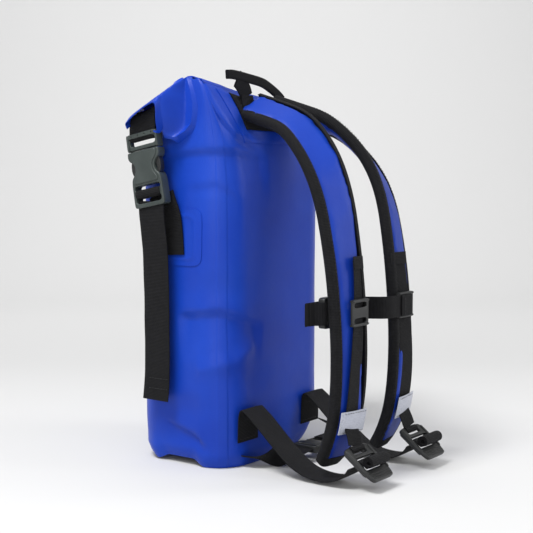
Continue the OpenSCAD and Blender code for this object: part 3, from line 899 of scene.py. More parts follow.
def make_roll():
    """The rolled fabric; its section winds inwards a little, so that its free edge shows."""
    sides = 56
    rows = []
    for px in np.linspace(-ROLL_HALF, ROLL_HALF, 64):
        row = []
        for k in range(sides):
            c, s, q = squared(math.radians(250) + math.tau * k / sides, 2.6)
            spiral = 1 - 0.09 * k / sides
            wob = 0.0010 * noise.noise(Vector((px * 26, c * 1.4, s * 1.4)))
            y = roll_y - 0.002 + (ROLL_DEEP * spiral + wob) * q * c
            z = ROLL_Z + (ROLL_TALL * spiral + wob) * q * s
            z = min(z, top_height(abs(px), y) - 0.0014)
            row.append(sink(Vector((px, y, z))))
        rows.append(row)
    obj = outward(finish_mesh("closure_roll_fabric", flat(rows), tube_faces(len(rows), sides), pvc, sharp=40))
    piece(obj, "bag", "closure_roll")


make_roll()


# The fold over the roll: its back edge, its depth, half its width, and how far its back edge turns down
FOLD_BACK = -0.0365
FOLD_DEEP = 0.066
FOLD_HALF = 0.0985
FOLD_TURN = 0.0040
FABRIC = 0.0012


def make_over_fold():
    """The fabric that runs from the top edge forward over the roll."""
    count, across = 24, 64
    rows = []
    for j in range(count):
        y = FOLD_BACK + FOLD_DEEP * j / (count - 1)
        row = []
        for i in range(across):
            x = (i / (across - 1) * 2 - 1) * FOLD_HALF
            z = top_height(abs(x), y) + 0.0006 * noise.noise(Vector((x * 24, y * 30, 1.7)))
            z -= FOLD_TURN * smooth_step((-0.0330 - y) / 0.0035)
            row.append(sink(Vector((x, y, z))))
        rows.append(row)
    piece(sheet("over_fold", rows, (0, 0, -FABRIC), pvc), "bag", ())


make_over_fold()

# An end of the roll: where it starts and how long it is, across the bag
HOOD_START = 0.0955
HOOD_LENGTH = 0.041
# Its front edge and the height of that edge, each at the start and at the tip
HOOD_FRONT = (0.0565, 0.0500)
HOOD_LOW = (0.4090, 0.3905)
# Where its back wall starts and how far that wall comes forward, and the height of the wall's foot
HOOD_BACK = -0.011
HOOD_FORWARD = 0.013
HOOD_FOOT = 0.3885
HOOD_DROOP = 0.0035
HOOD_LEAN = 0.004


def make_hood(side_name):
    """The end of the roll, an arch of fabric that opens downwards round the closure webbing."""
    x = SIDES[side_name]
    rows = []
    for px in np.linspace(HOOD_START, HOOD_START + HOOD_LENGTH, 26):
        k = (px - HOOD_START) / HOOD_LENGTH
        front = HOOD_FRONT[0] + (HOOD_FRONT[1] - HOOD_FRONT[0]) * k
        back = HOOD_BACK + HOOD_FORWARD * smooth_step((px - 0.100) / 0.032)
        low_z = HOOD_LOW[0] + (HOOD_LOW[1] - HOOD_LOW[0]) * k
        tip = HOOD_DROOP * smooth_step((k - 0.85) / 0.15)

        def at(y, px=px):
            return top_height(px, y) + 0.0007
        arch = [(front - 0.0020, low_z), (front, low_z + (at(front) - low_z) * 0.55),
                (front - 0.0008, at(front) - 0.0030)]
        for share in (0.10, 0.28, 0.46, 0.64, 0.82, 0.93):
            y = front + (back - front) * share
            ripple = 0.0006 * math.sin(px * 900 + share * 5)
            arch.append((y, at(y) - tip * abs(2 * share - 1) ** 2 + ripple))
        foot = at(back) + (HOOD_FOOT - at(back)) * smooth_step((px - 0.108) / 0.022)
        arch += [(back + 0.0006, at(back) - 0.0030 - tip), (back, (at(back) + foot) / 2 - 0.002),
                 (back + 0.0008, foot - 0.0020), (back + 0.0035, foot - 0.0034),
                 (back + 0.0065, foot - 0.0012)]
        section = resample(chaikin([(0, y, z) for y, z in arch], 2), 0.0020)
        section = points_at(section, range(len(section)), np.linspace(0, len(section) - 1, 54))
        row = []
        for p in section:
            lean = HOOD_LEAN * k * smooth_step((0.402 - p.z) / 0.02)
            row.append(sink(Vector((x * (px - lean), p.y, p.z))))
        rows.append(row)
    piece(sheet("hood_" + side_name, rows, (x * -0.0004, 0.0003, -0.0013), pvc), "bag", ())


def make_pocket(side_name):
    """The folded-in corner between the bag's side and the end of the roll."""
    x = SIDES[side_name]
    hood_edge = [(0.1000, -0.0110), (0.1100, -0.0078), (0.1200, -0.0010), (0.1290, 0.0018)]
    outer = [(px, y, top_height(px, y) - 0.0004) for px, y in hood_edge]
    outer += [(0.1285, 0.0030, 0.3990), (0.1240, 0.0040, 0.3890), (0.1170, 0.0060, 0.3790)]
    crest = [(0.1005, -0.0130, 0.4482), (0.1030, -0.0190, 0.4380), (0.1050, -0.0250, 0.4240),
             (0.1060, -0.0270, 0.4080), (0.1080, -0.0240, 0.3900), (0.1140, -0.0020, 0.3775)]
    outer, crest = resample(chaikin(outer, 2), 0.001), resample(chaikin(crest, 1), 0.001)
    rows = []
    for j in range(34):
        t = j / 33
        a = outer[int(round(t * (len(outer) - 1)))]
        b = crest[int(round(t * (len(crest) - 1)))]
        row = []
        for i in range(25):
            u = i / 24
            p = a.lerp(b, u)
            deep = math.sin(math.pi * u ** 1.5) * math.sin(math.pi * min(t * 1.05 + 0.02, 1)) ** 0.6
            p.x -= 0.0130 * deep
            p.x = max(p.x, shell_level(p.z)[0] + 0.0010)
            row.append(p)
        # behind the crest the fabric lies back onto the bag's side
        for back, share in ((0.0040, 0.05), (0.0065, -0.60)):
            wall = shell_level(b.z)[0]
            out = wall + (b.x - wall) * share + 0.0002
            row.append(Vector((out, b.y - back * (1 - t * 0.5), b.z - 0.004 * t)))
        rows.append([sink(Vector((x * p.x, p.y, p.z))) for p in row])
    piece(sheet("pocket_" + side_name, rows, (x * -0.0010, 0.0004, 0), pvc, 38), "bag", ())


for side_name in SIDES:
    make_hood(side_name)
    make_pocket(side_name)


# ---- side buckles ----
prong_pivot = Vector(joint_at["prong_front_press_right"]["pos_m"])
prong_mirror = Vector(joint_at["prong_rear_press_right"]["pos_m"])
buckle_up = Vector((0, math.sin(buckle_lean), math.cos(buckle_lean)))
# The buckle's own frame starts at its mouth, this far above the prongs' pivots
MOUTH_UP = 0.0154
mouth_z = ((prong_pivot + prong_mirror) / 2 + buckle_up * MOUTH_UP).z
# Visual width of the buckle, and the middle of its ladder bar below the mouth
BUCKLE_W = 0.052
BAR_AT = -0.064
SOCKET_R = 0.0011
# Thicknesses of the frame, of its raised faces, and of the male half's body, rail and cheeks
FRAME_THICK = 0.0125
FACE_THICK = 0.0024
FACE_OUT = 0.0062
MALE_THICK = 0.0078
RAIL_THICK = 0.0100
CHEEK_THICK = 0.0104
PRONG_THICK = 0.0074


def frame_matrix(a, b, c, at):
    """A frame from its three directions and its place."""
    return Matrix(((a.x, b.x, c.x, at.x), (a.y, b.y, c.y, at.y), (a.z, b.z, c.z, at.z), (0, 0, 0, 1)))


def buckle_place(x):
    """Local frame of a side buckle: X across the strap, Y up along it, Z out of the bag's side."""
    outer = Vector((x, 0, 0))
    mouth = Vector((x * abs(buckle_x), roll_y, mouth_z))
    return frame_matrix(buckle_up.cross(outer), buckle_up, outer, mouth)


def mirrored_outline(half):
    """A whole outline from its right half."""
    return half + [(-px, py) for px, py in reversed(half)]


def make_side_buckle(side_name):
    """Female frame with its faces, male half with its sockets, prongs, and the webbing on the ladder bar."""
    place = buckle_place(SIDES[side_name])
    w = BUCKLE_W / 2 - 0.0022
    web = side_web_w / 2 + 0.0005
    frame_outline = mirrored_outline([
        (w - 0.001, -0.0145), (w, -0.0165), (w, -0.0235), (w - 0.0075, -0.0285), (w - 0.0095, -0.0340),
        (w - 0.0080, -0.0405), (w - 0.0025, -0.0450), (w - 0.0012, -0.0520), (w - 0.0010, -0.0775),
        (w - 0.0030, -0.0800)])
    slots = [box_outline(-web, BAR_AT + 0.0095, web, BAR_AT + 0.0030),
             box_outline(-web, BAR_AT - 0.0030, web, BAR_AT - 0.0110)]
    body = "female_" + side_name
    plate("female_frame_" + side_name, frame_outline, slots, FRAME_THICK, 0.0011, plastic, place, body,
          ("buckle_female_" + side_name, "bar_wrap_" + side_name))
    face_outline = mirrored_outline([
        (w - 0.0035, -0.0150), (w - 0.0030, -0.0225), (w - 0.0105, -0.0290), (w - 0.0120, -0.0350),
        (w - 0.0100, -0.0420), (w - 0.0055, -0.0475), (w - 0.0055, -0.0520)])
    for name, level in (("front", FACE_OUT), ("rear", -FACE_OUT)):
        plate(f"female_{name}_face_{side_name}", face_outline, [], FACE_THICK, 0.0009, plastic,
              place @ Matrix.Translation((0, 0, level)), body)
    # male half: body with its webbing slot, a rail with a row of small sockets, and two cheeks
    m = side_web_w / 2 + 0.0030
    male_outline = [(-m, 0.0060), (m, 0.0060), (m + 0.0012, -0.0130), (-m - 0.0012, -0.0130)]
    plate("male_body_" + side_name, male_outline, [box_outline(-web, 0.0006, web, -0.0085)],
          MALE_THICK, 0.0009, plastic, place, "bag", "buckle_male_" + side_name)
    turns = [math.tau * q / 8 for q in range(8)]
    sockets = [[((k - 1.5) * 0.0105 + SOCKET_R * math.cos(a), 0.0034 + SOCKET_R * math.sin(a)) for a in turns]
               for k in range(4)]
    plate("male_rail_" + side_name, box_outline(-m, 0.0062, m, 0.0010), sockets, RAIL_THICK, 0.0007,
          plastic, place, "bag", rounding=1)
    for name, cx in (("a", -m - 0.0001), ("b", m + 0.0001)):
        cheek = [(cx - 0.0014, 0.0058), (cx + 0.0014, 0.0058), (cx + 0.0016, -0.0136), (cx - 0.0016, -0.0136)]
        plate(f"male_cheek_{name}_{side_name}", cheek, [], CHEEK_THICK, 0.0008, plastic, place, "bag",
              rounding=1)
    # prongs: a slim arm that swells into the pad pressed by finger and thumb
    arm = [(0.0120, -0.0150), (0.0165, -0.0150), (0.0205, -0.0245), (0.0222, -0.0290), (0.0226, -0.0345),
           (0.0218, -0.0400), (0.0188, -0.0445), (0.0160, -0.0450), (0.0168, -0.0360), (0.0150, -0.0260)]
    for face in ("front", "rear"):
        turn = prong_side(place, face, side_name)
        prong = f"prong_{face}_{side_name}"
        plate(prong + "_arm", [(turn * px, py) for px, py in arm], [], PRONG_THICK, 0.0009, dark_plastic,
              place, prong, prong)
    # webbing doubled over the ladder bar
    wrap = []
    for k in range(25):
        c, d, q = squared(math.radians(100 + 15 * k), 4)
        wrap.append(place @ Vector((0, BAR_AT + 0.0044 * q * d, 0.0070 * q * c)))
    ribbon("bar_wrap_web_" + side_name, wrap, place.to_3x3() @ ACROSS, side_web_w - 0.001, body, step=0.0012,
           passes=1)


def prong_side(place, face, side_name):
    """1 or -1: which way across the strap a prong lies."""
    pivot = Vector(joint_at[f"prong_{face}_press_{side_name}"]["pos_m"])
    return 1 if (place.inverted() @ pivot).x > 0 else -1


for side_name in SIDES:
    make_side_buckle(side_name)


# ---- webbing on the sides ----
def make_side_webbing(side_name):
    """Closure webbing down to the male buckle, the long tail, and the strap sewn on the patch."""
    x = SIDES[side_name]
    place = buckle_place(x)
    bx = x * abs(buckle_x)
    bar = place @ Vector((0, 0.0035, 0))
    lean_across = place.to_3x3() @ ACROSS
    lean_across = lean_across if lean_across.y > 0 else -lean_across
    top_w = side_web_w - 0.0005
    for layer, off, nodes in (("outer", 0.0030, ("closure_webbing_" + side_name, "closure_stiffener")),
                              ("inner", -0.0024, ())):
        path = [(x * 0.104, roll_y - 0.005, 0.4180), (x * 0.116, roll_y - 0.005, 0.4135),
                (bx + x * (off + 0.0010), roll_y - 0.004, 0.4060)]
        path = [sink(Vector(p)) for p in path]
        path += [(bx + x * off * 1.3, roll_y - 0.002, 0.3930), (bx + x * off, bar.y, bar.z + 0.004),
                 (bx + x * off, bar.y, bar.z - 0.003)]
        ribbon(f"closure_web_{layer}_{side_name}", path, ((0, 0.9, -0.43), lean_across), top_w, "bag", nodes)
    turn = []
    for degrees in range(0, 181, 20):
        a = math.radians(degrees)
        turn.append((bx + x * 0.0030 * math.cos(a), bar.y, bar.z - 0.003 - 0.0030 * math.sin(a)))
    ribbon("closure_web_turn_" + side_name, turn, lean_across, top_w, "bag", step=0.001, passes=1)
    # the long free tail, with the stitches across its end
    low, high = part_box("strap_tail_" + side_name)
    y = (low.y + high.y) / 2
    outer_x, inner_x = max(abs(low.x), abs(high.x)), min(abs(low.x), abs(high.x))
    path = [(outer_x - 0.0010, y, high.z + 0.012), (outer_x - 0.0012, y, high.z - 0.004),
            (outer_x - 0.0040, y, high.z - 0.020), (inner_x + 0.0020, y, high.z - 0.062),
            (inner_x + 0.0010, y, low.z + 0.060), (inner_x + 0.0012, y + 0.001, low.z + 0.018),
            (inner_x + 0.0018, y + 0.003, low.z)]
    ribbon("tail_web_" + side_name, [(x * px, py, pz) for px, py, pz in path], BACK, side_web_w,
           "tail_" + side_name, "strap_tail_" + side_name, slant=0.10, ripple=0.0006)
    hem_x = x * (inner_x + 0.0012 + 0.0009)
    reach = side_web_w / 2 - STITCH_INSET
    for name, dz in (("a", 0.026), ("b", 0.014)):
        line = [(hem_x, y + k, low.z + dz) for k in np.linspace(-reach, reach, 24)]
        stitches(f"tail_stitch_{name}_{side_name}", line, (x, 0, 0), "tail_" + side_name)
    # the sewn strap from the patch up to the buckle
    low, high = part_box("side_strap_" + side_name)
    y = (low.y + high.y) / 2
    path = [(0.0012, y - 0.002, low.z), (0.0016, y - 0.001, low.z + 0.022),
            (0.0030, y + 0.001, low.z + 0.046), (0.0046, y + 0.005, high.z - 0.016),
            (0.0058, y + 0.009, high.z - 0.002)]
    ribbon("side_strap_web_" + side_name, [(x * (half_w + px), py, pz) for px, py, pz in path],
           (BACK, (0, 1, -0.16)), side_web_w, "bag", "side_strap_" + side_name)


for side_name in SIDES:
    make_side_webbing(side_name)


# ---- shoulder straps ----
# Centre line of the left strap: x across, y out from the back, z, twist in degrees about its length, width
STRAP_LINE = [
    (0.030, -0.0500, 0.4180, 34, 0.046), (0.032, -0.0840, 0.4080, 30, 0.048),
    (0.038, -0.1210, 0.3960, 27, 0.050), (0.047, -0.1500, 0.3710, 24, 0.052),
    (0.053, -0.1710, 0.3430, 20, 0.053), (0.0555, -0.1855, 0.3080, 16, 0.053),
    (0.056, -0.1935, 0.2680, 13, 0.053), (0.056, -0.1995, 0.2280, 11, 0.053),
    (0.056, -0.2035, 0.1850, 10, 0.053), (0.056, -0.2055, 0.1450, 9, 0.053),
    (0.056, -0.2045, 0.1040, 8, 0.053), (0.056, -0.2005, 0.0720, 7, 0.052),
    (0.056, -0.1935, 0.0480, 6, 0.051), (0.056, -0.1845, 0.0300, 5, 0.046),
    (0.056, -0.1775, 0.0205, 4, 0.034),
]
STRAP_STEP = 0.004


def strap_frames(x):
    """Points along a strap with its across and outward directions and its width."""
    pts = chaikin([(p[0], p[1], p[2]) for p in STRAP_LINE], 3)
    twist_width = chaikin([(p[3], p[4], 0) for p in STRAP_LINE], 3)
    at = lengths_to(pts)
    wanted = np.linspace(0, at[-1], int(at[-1] / STRAP_STEP) + 1)
    line = points_at(pts, at, wanted)
    twists, widths = [[float(np.interp(w, at, [q[k] for q in twist_width])) for w in wanted] for k in (0, 1)]
    frames = []
    for p, tg, twist, width in zip(line, tangents(line), twists, widths):
        across = (ACROSS - tg * tg.x).normalized()
        out = across.cross(tg)
        if out.y > 0 and abs(out.y) > abs(out.z) or (abs(out.z) >= abs(out.y) and out.z < 0):
            out = -out
        a = math.radians(twist)
        turned = across * math.cos(a) - out * math.sin(a)
        outer = across * math.sin(a) + out * math.cos(a)
        frames.append((*[Vector((x * v.x, v.y, v.z)) for v in (p, turned, outer)], width))
    return frames


def strap_mesh(name, frames, section, material):
    """A long form on a strap. section(width, length) gives its outline as (across, out) in metres."""
    rows, weave = [], []
    length = 0.0
    last = frames[0][0]
    for p, across, out, width in frames:
        length += (p - last).length
        last = p
        outline = section(width, length)
        rows.append([p + across * a + out * o for a, o in outline])
        weave += [(a, length, o) for a, o in outline]
    faces = tube_faces(len(rows), len(rows[0]))
    return outward(finish_mesh(name, flat(rows), faces, material, weave, sharp=55))


def strap_sheet(name, frames, section, material, stands_for):
    piece(strap_mesh(name, frames, section, material), "bag", stands_for)


def there_and_back(half, count, under, over):
    """An outline across a strap at one height and back at another; each height is a function of the share."""
    out = [(-half + 2 * half * k / count, under(k / count)) for k in range(count + 1)]
    return out + [(half - 2 * half * k / count, over(k / count)) for k in range(count + 1)]


# Half the thickness of the foam, and how far it stays inside the strap's edge
FOAM_HALF = 0.0040
FOAM_INSET = 0.0035
# The pad's cloth: size of its mesh, air pressure in it, and how far it may swell
PAD_VOXEL = 0.0045
PAD_PRESSURE = 4.0
PAD_CAP = 0.0035


def pad_blank(name, frames):
    """The foam core as a plain closed form, for the cloth to be blown up from."""
    def section(width, length):
        return there_and_back(width / 2 - FOAM_INSET, 10, lambda k: -FOAM_HALF, lambda k: FOAM_HALF)
    return strap_mesh(name, frames, section, pad_fabric)


def apply_modifier(obj, name):
    bpy.context.view_layer.objects.active = obj
    with bpy.context.temp_override(object=obj, active_object=obj):
        bpy.ops.object.modifier_apply(modifier=name)


def points_of(mesh):
    return np.array([v.co for v in mesh.vertices], float).reshape(-1, 3)


AIR_FRAMES = 20


def inflate(obj, voxel, pressure, cap):
    """Remeshes a form and lets air pressure crown it, with no point moving further than cap."""
    remesh = obj.modifiers.new("even", "REMESH")
    remesh.mode = "VOXEL"
    remesh.voxel_size = voxel
    apply_modifier(obj, "even")
    rest = points_of(obj.data)
    cloth = obj.modifiers.new("air", "CLOTH")
    cloth.settings.use_pressure = True
    cloth.settings.uniform_pressure_force = pressure
    cloth.settings.effector_weights.gravity = 0
    cloth.settings.quality = 5
    for frame_number in range(1, AIR_FRAMES + 1):
        bpy.context.scene.frame_set(frame_number)
    shift = points_of(obj.evaluated_get(bpy.context.evaluated_depsgraph_get()).data) - rest
    obj.modifiers.remove(cloth)
    bpy.context.scene.frame_set(1)
    size = np.linalg.norm(shift, axis=1, keepdims=True)
    rest = rest + shift * np.minimum(1, cap / np.maximum(size, 1e-9))
    obj.data.vertices.foreach_set("co", rest.astype(np.float32).ravel())
    obj.data.update()
    sub = obj.modifiers.new("round", "SUBSURF")
    sub.levels = 1
    sub.render_levels = 1
    apply_modifier(obj, "round")
    obj.data.shade_smooth()


# The binding: how far its fold's middle lies from the strap's edge, its reach on the outer and inner edges
FOLD_INSET = 0.0040
BINDING_REACH = {1: 0.0045, -1: 0.0030}


def make_strap(side_name):
    """A shoulder strap: pad, mesh backing, bound and stitched edges, and the closed foot."""
    frames = strap_frames(SIDES[side_name])
    suffix = "_" + side_name
    pad = pad_blank("strap_pad" + suffix, frames)
    inflate(pad, PAD_VOXEL, PAD_PRESSURE, PAD_CAP)
    pad.data.materials.clear()
    pad.data.materials.append(pad_fabric)
    piece(pad, "bag", ("strap_cover" + suffix, "strap_foam" + suffix))

    def backing(width, length):
        wave = 0.0003 * math.sin(length * 300)
        return there_and_back(width / 2 - 0.0022, 10,
                              lambda k: -0.0046 - 0.0022 * math.cos(math.pi * (k - 0.5)) + wave,
                              lambda k: -0.0030)
    strap_sheet("strap_mesh" + suffix, frames, backing, mesh_cloth, "strap_backing" + suffix)

    # binding: a folded tape round each long edge, wider on the side next to the wearer's arm
    for edge_name, edge in (("outer", 1), ("inner", -1)):
        def binding(width, length, edge=edge):
            fold = width / 2 - FOLD_INSET
            lip = edge * (fold - BINDING_REACH[edge])
            inside = edge * (fold - 0.0020)
            ring = []
            for k in range(13):
                a = math.radians(-90 + 180 * k / 12)
                ring.append((edge * (fold + 0.0042 * math.cos(a)), 0.0060 * math.sin(a)))
            return ring + [(lip, 0.0064), (lip, 0.0052), (inside, 0.0050), (inside, -0.0050),
                           (lip, -0.0052), (lip, -0.0066)]
        strap_sheet(f"strap_binding_{edge_name}" + suffix, frames, binding, black_web, ())
        sewn = frames[2:-3]
        line = [p + across * (edge * (width / 2 - FOLD_INSET - BINDING_REACH[edge] + 0.0014)) + out * 0.0066
                for p, across, out, width in sewn]
        stitches(f"strap_stitch_{edge_name}" + suffix, line, strap_normals(sewn), "bag", length=0.0026,
                 radius=0.00028, lift=0.0)

    def cap(width, length):
        half = width / 2 + 0.0006
        ring = []
        for k in range(28):
            c, s = math.cos(math.tau * k / 28), math.sin(math.tau * k / 28)
            ring.append((half * math.copysign(abs(c) ** 0.5, c), 0.0074 * math.copysign(abs(s) ** 0.6, s)))
        return ring
    strap_sheet("strap_foot" + suffix, frames[-4:], cap, black_web, ())
    return frames


def strap_normals(frames):
    """The outward directions of the frames at the spacing of the stitches."""
    at = lengths_to([f[0] for f in frames])
    count = max(2, int(round(at[-1] / STITCH_STEP)) + 1)
    index = np.interp(np.linspace(0, at[-1], count), at, range(len(frames)))
    return [frames[int(round(i))][2] for i in index]


strap_of = {name: make_strap(name) for name in SIDES}


HARNESS_W = 0.025
LOOP_THICK = 0.0014


def strap_part(side_name, low_z, high_z):
    """The frames of a strap between two heights, on its long run in front."""
    return [f for f in strap_of[side_name] if f[0].y < -0.12 and low_z < f[0].z < high_z]


def make_strap_webbing(side_name):
    """Webbing sewn down a strap to its ladder lock, its starting tab, and the reflective patch over it."""
    x = SIDES[side_name]
    suffix = "_" + side_name
    lock_pivot = Vector(joint_at["ladder_lock_tilt" + suffix]["pos_m"])
    run = strap_part(side_name, 0.064, 0.247)
    path = []
    for p, across, out, _ in run:
        above = 1 - smooth_step((0.25 - p.z) / 0.16)
        path.append(p - across * (0.0145 * above) + out * (0.0085 - 0.0015 * above))
    path += [Vector((x * 0.058, lock_pivot.y + 0.0046, lock_pivot.z + 0.016)),
             Vector((x * 0.060, lock_pivot.y + 0.0008, lock_pivot.z + 0.0040))]
    p, across, out, _ = run[0]
    turned = across + out * 0.42
    ribbon("strap_web" + suffix, path, (turned, (x, 0, 0)), HARNESS_W, "bag", "strap_webbing" + suffix,
           passes=1)
    loop = []
    for degrees in range(-20, 341, 20):
        a = math.radians(degrees)
        loop.append(lock_pivot + Vector((0, 0.0034 * math.sin(a), 0.0034 * math.cos(a))))
    ribbon("strap_web_loop" + suffix, loop, ACROSS, HARNESS_W, "bag", step=0.001, passes=1,
           thickness=LOOP_THICK)
    # reflective patch over the webbing, stitched down
    part = strap_part(side_name, 0.058, 0.085)

    def tape(width, length):
        def crown(k):
            return 0.0012 * math.cos(math.pi * (k - 0.5))
        return there_and_back(0.0215, 12, lambda k: 0.0118 + crown(k), lambda k: 0.0112 + crown(k))
    strap_sheet("reflector_tape" + suffix, part, tape, silver, "reflector" + suffix)
    along = (part[0][0] - part[-1][0]).normalized()
    for name, edge, inward in (("top", 0, -0.0022), ("foot", -1, 0.0022)):
        q, aside, lifted, _ = part[edge]
        centre = q + lifted * 0.0126 + along * inward
        line = [centre + aside * k for k in np.linspace(-0.0195, 0.0195, 16)]
        stitches(f"reflector_stitch_{name}" + suffix, line, lifted, "bag", lift=0.0006)
    # webbing tab where the sewn webbing starts
    tab = p - across * 0.0145 + out * 0.0086
    path = [tab + Vector((0, 0.0006, 0.004)), tab + out * 0.0004 - Vector((0, 0.0004, 0.010))]
    ribbon("strap_tab" + suffix, path, turned, 0.027, "bag", passes=0)


for side_name in SIDES:
    make_strap_webbing(side_name)


# ---- grab handle ----
HANDLE_THICK = 0.0026
# The bar of the handle is webbing folded double
BAR_THICK = 0.0046
BAR_W = 0.0105


def make_handle():
    """The grab handle: a leg and a folded bar that flop, and two roots sewn on the bag."""
    low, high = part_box("grab_handle")
    y = (low.y + high.y) / 2
    base = low.z

    def lifted(run):
        return [(px, y + dy, base + dz) for px, dy, dz in run]
    leg = [(-0.034, 0.0004, -0.001), (-0.037, 0, 0.006), (-0.048, -0.0006, 0.0155), (-0.052, -0.0006, 0.018)]
    ribbon("handle_near_leg", lifted(leg), (ACROSS, (0.4, 0, 0.9)), 0.022, "handle", "grab_handle",
           thickness=HANDLE_THICK, step=0.002)
    for name, cx, width, deep in (("near", -0.0340, 0.022, 0.014), ("far", 0.0385, 0.0170, 0.018)):
        root = [(cx, -0.0004, 0), (cx, -0.0016, -deep * 0.5), (cx, -0.0030, -deep)]
        ribbon("handle_root_" + name, lifted(root), ACROSS, width, "bag", thickness=HANDLE_THICK, step=0.002,
               passes=1)
    bar = [(-0.0705, 0, 0.0215), (-0.060, -0.0003, 0.0224), (-0.030, -0.0008, 0.0196),
           (-0.004, -0.0008, 0.0170), (0.010, -0.0003, 0.0125), (0.028, 0, 0.0050), (0.038, 0.0004, -0.001)]
    ribbon("handle_bar", lifted(bar), ((0.1, 0, 1), (0.75, 0, 1)), BAR_W, "handle", thickness=BAR_THICK,
           step=0.002)


make_handle()


# ---- ladder locks and lower webbing ----
def lock_place(side_name):
    """Local frame of a ladder lock: X across, Y along its plate, Z out of its face."""
    pivot = Vector(joint_at["ladder_lock_tilt_" + side_name]["pos_m"])
    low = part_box("ladder_lock_" + side_name)[0]
    along_plate = Vector((0, low.y + 0.0016 - pivot.y, low.z + 0.0016 - pivot.z)).normalized()
    return frame_matrix(ACROSS, along_plate, ACROSS.cross(along_plate), pivot)


# Ladder lock: half its width, half the width of its slots, and the pitch of the turns of the rolled webbing
LOCK_HALF = 0.023
LOCK_WEB = 0.0195
TURN_PITCH = 0.0016


def make_lock(side_name):
    """Ladder lock with its gate, slots, grip and rails, and the rolled-up webbing on it."""
    place = lock_place(side_name)
    suffix = "_" + side_name
    body = "lock" + suffix
    outline = mirrored_outline([(LOCK_HALF - 0.002, -0.003), (LOCK_HALF, 0.004), (LOCK_HALF, 0.030),
                                (LOCK_HALF - 0.0035, 0.0445)])
    slots = [box_outline(-LOCK_WEB, y, LOCK_WEB, y + 0.0058) for y in (0.0120, 0.0230)]
    gate = box_outline(-0.0135, 0.0022, 0.0135, 0.0075)
    plate("lock_frame" + suffix, outline, [gate, *slots], 0.0046, 0.0012, dark_plastic, place, body,
          "ladder_lock" + suffix)
    grip = LOCK_HALF - 0.005
    for k in range(3):
        y = 0.0345 + k * 0.0030
        plate(f"lock_grip_{k}" + suffix, box_outline(-grip, y, grip, y + 0.0014), [], 0.0060, 0.0005,
              dark_plastic, place, body, rounding=1)
    for name, cx in (("a", -LOCK_HALF + 0.0022), ("b", LOCK_HALF - 0.0022)):
        plate(f"lock_rail_{name}" + suffix, box_outline(cx - 0.0016, 0.001, cx + 0.0016, 0.034), [],
              0.0072, 0.0010, dark_plastic, place, body, rounding=1)
    # the free end is rolled up under the plate
    turns = []
    for k in range(70):
        a = k * 0.30
        r = 0.0066 - TURN_PITCH * a / math.tau
        if r < 0.0022:
            break
        turns.append(place @ Vector((0, 0.026 + r * math.cos(a + 1.2), -0.0102 + r * math.sin(a + 1.2))))
    lead = [place @ Vector((0, y, z)) for y, z in ((0.0150, 0.0030), (0.0150, -0.0030), (0.0200, -0.0036))]
    ribbon("rolled_tail" + suffix, turns, ACROSS, 0.037, body, "webbing_tail" + suffix, step=0.0012, passes=1,
           thickness=LOOP_THICK)
    ribbon("rolled_lead" + suffix, lead + [turns[0]], ACROSS, 0.037, body, step=0.0012, passes=2,
           thickness=LOOP_THICK)


for side_name in SIDES:
    make_lock(side_name)


def make_lower_webbing(side_name):
    """Webbing from the foot of the back, sagging near the ground and rising to the ladder lock."""
    low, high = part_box("lower_webbing_" + side_name)
    cx = (low.x + high.x) / 2
    width = high.x - low.x
    wall = on_shell((cx, -0.2, 0.045), BACK, 0.0012).y
    path = [(wall, 0.030), (wall - 0.0004, 0.052), (wall - 0.0012, 0.064), (wall - 0.0045, 0.0700),
            (wall - 0.0085, 0.0675), (-0.094, 0.0575), (-0.114, 0.0400), (-0.131, 0.0245), (-0.149, 0.0115),
            (-0.169, 0.0050), (-0.189, 0.0038), (-0.205, 0.0072), (-0.2165, 0.0150), (-0.2215, 0.0225)]
    ribbon("lower_web_" + side_name, [(cx, y, z) for y, z in path], ACROSS, width, "bag",
           "lower_webbing_" + side_name, ripple=0.0005)
    reach = width / 2 - STITCH_INSET
    for name, z in (("top", 0.056), ("foot", 0.034)):
        line = [(cx + k, wall - 0.0012, z) for k in np.linspace(-reach, reach, 20)]
        stitches(f"lower_stitch_{name}_{side_name}", line, -BACK, "bag")


for side_name in SIDES:
    make_lower_webbing(side_name)


# ---- chest strap ----
def make_slider(side_name):
    """Slider on a shoulder strap, with two slots and a raised bar at each end."""
    low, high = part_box("chest_slider_" + side_name)
    body = "chest_" + side_name
    mid = (low + high) / 2
    w, h = (high.x - low.x) / 2, (high.z - low.z) / 2
    place = frame_matrix(ACROSS, UP, -BACK, Vector((mid.x, low.y + 0.0016, mid.z)))
    inner = w - 0.0042
    slots = [box_outline(-inner, y - 0.0028, inner, y + 0.0028) for y in (-0.0085, 0.0085)]
    plate("slider_plate_" + side_name, box_outline(-w, -h, w, h), slots, 0.0030, 0.0008, dark_plastic, place,
          body, "chest_slider_" + side_name)
    for name, y in (("top", 0.0130), ("foot", -0.0130)):
        plate(f"slider_bar_{name}_{side_name}", box_outline(-w, y - 0.0016, w, y + 0.0016), [],
              0.0052, 0.0010, dark_plastic, place, body, rounding=1)


for side_name in SIDES:
    make_slider(side_name)


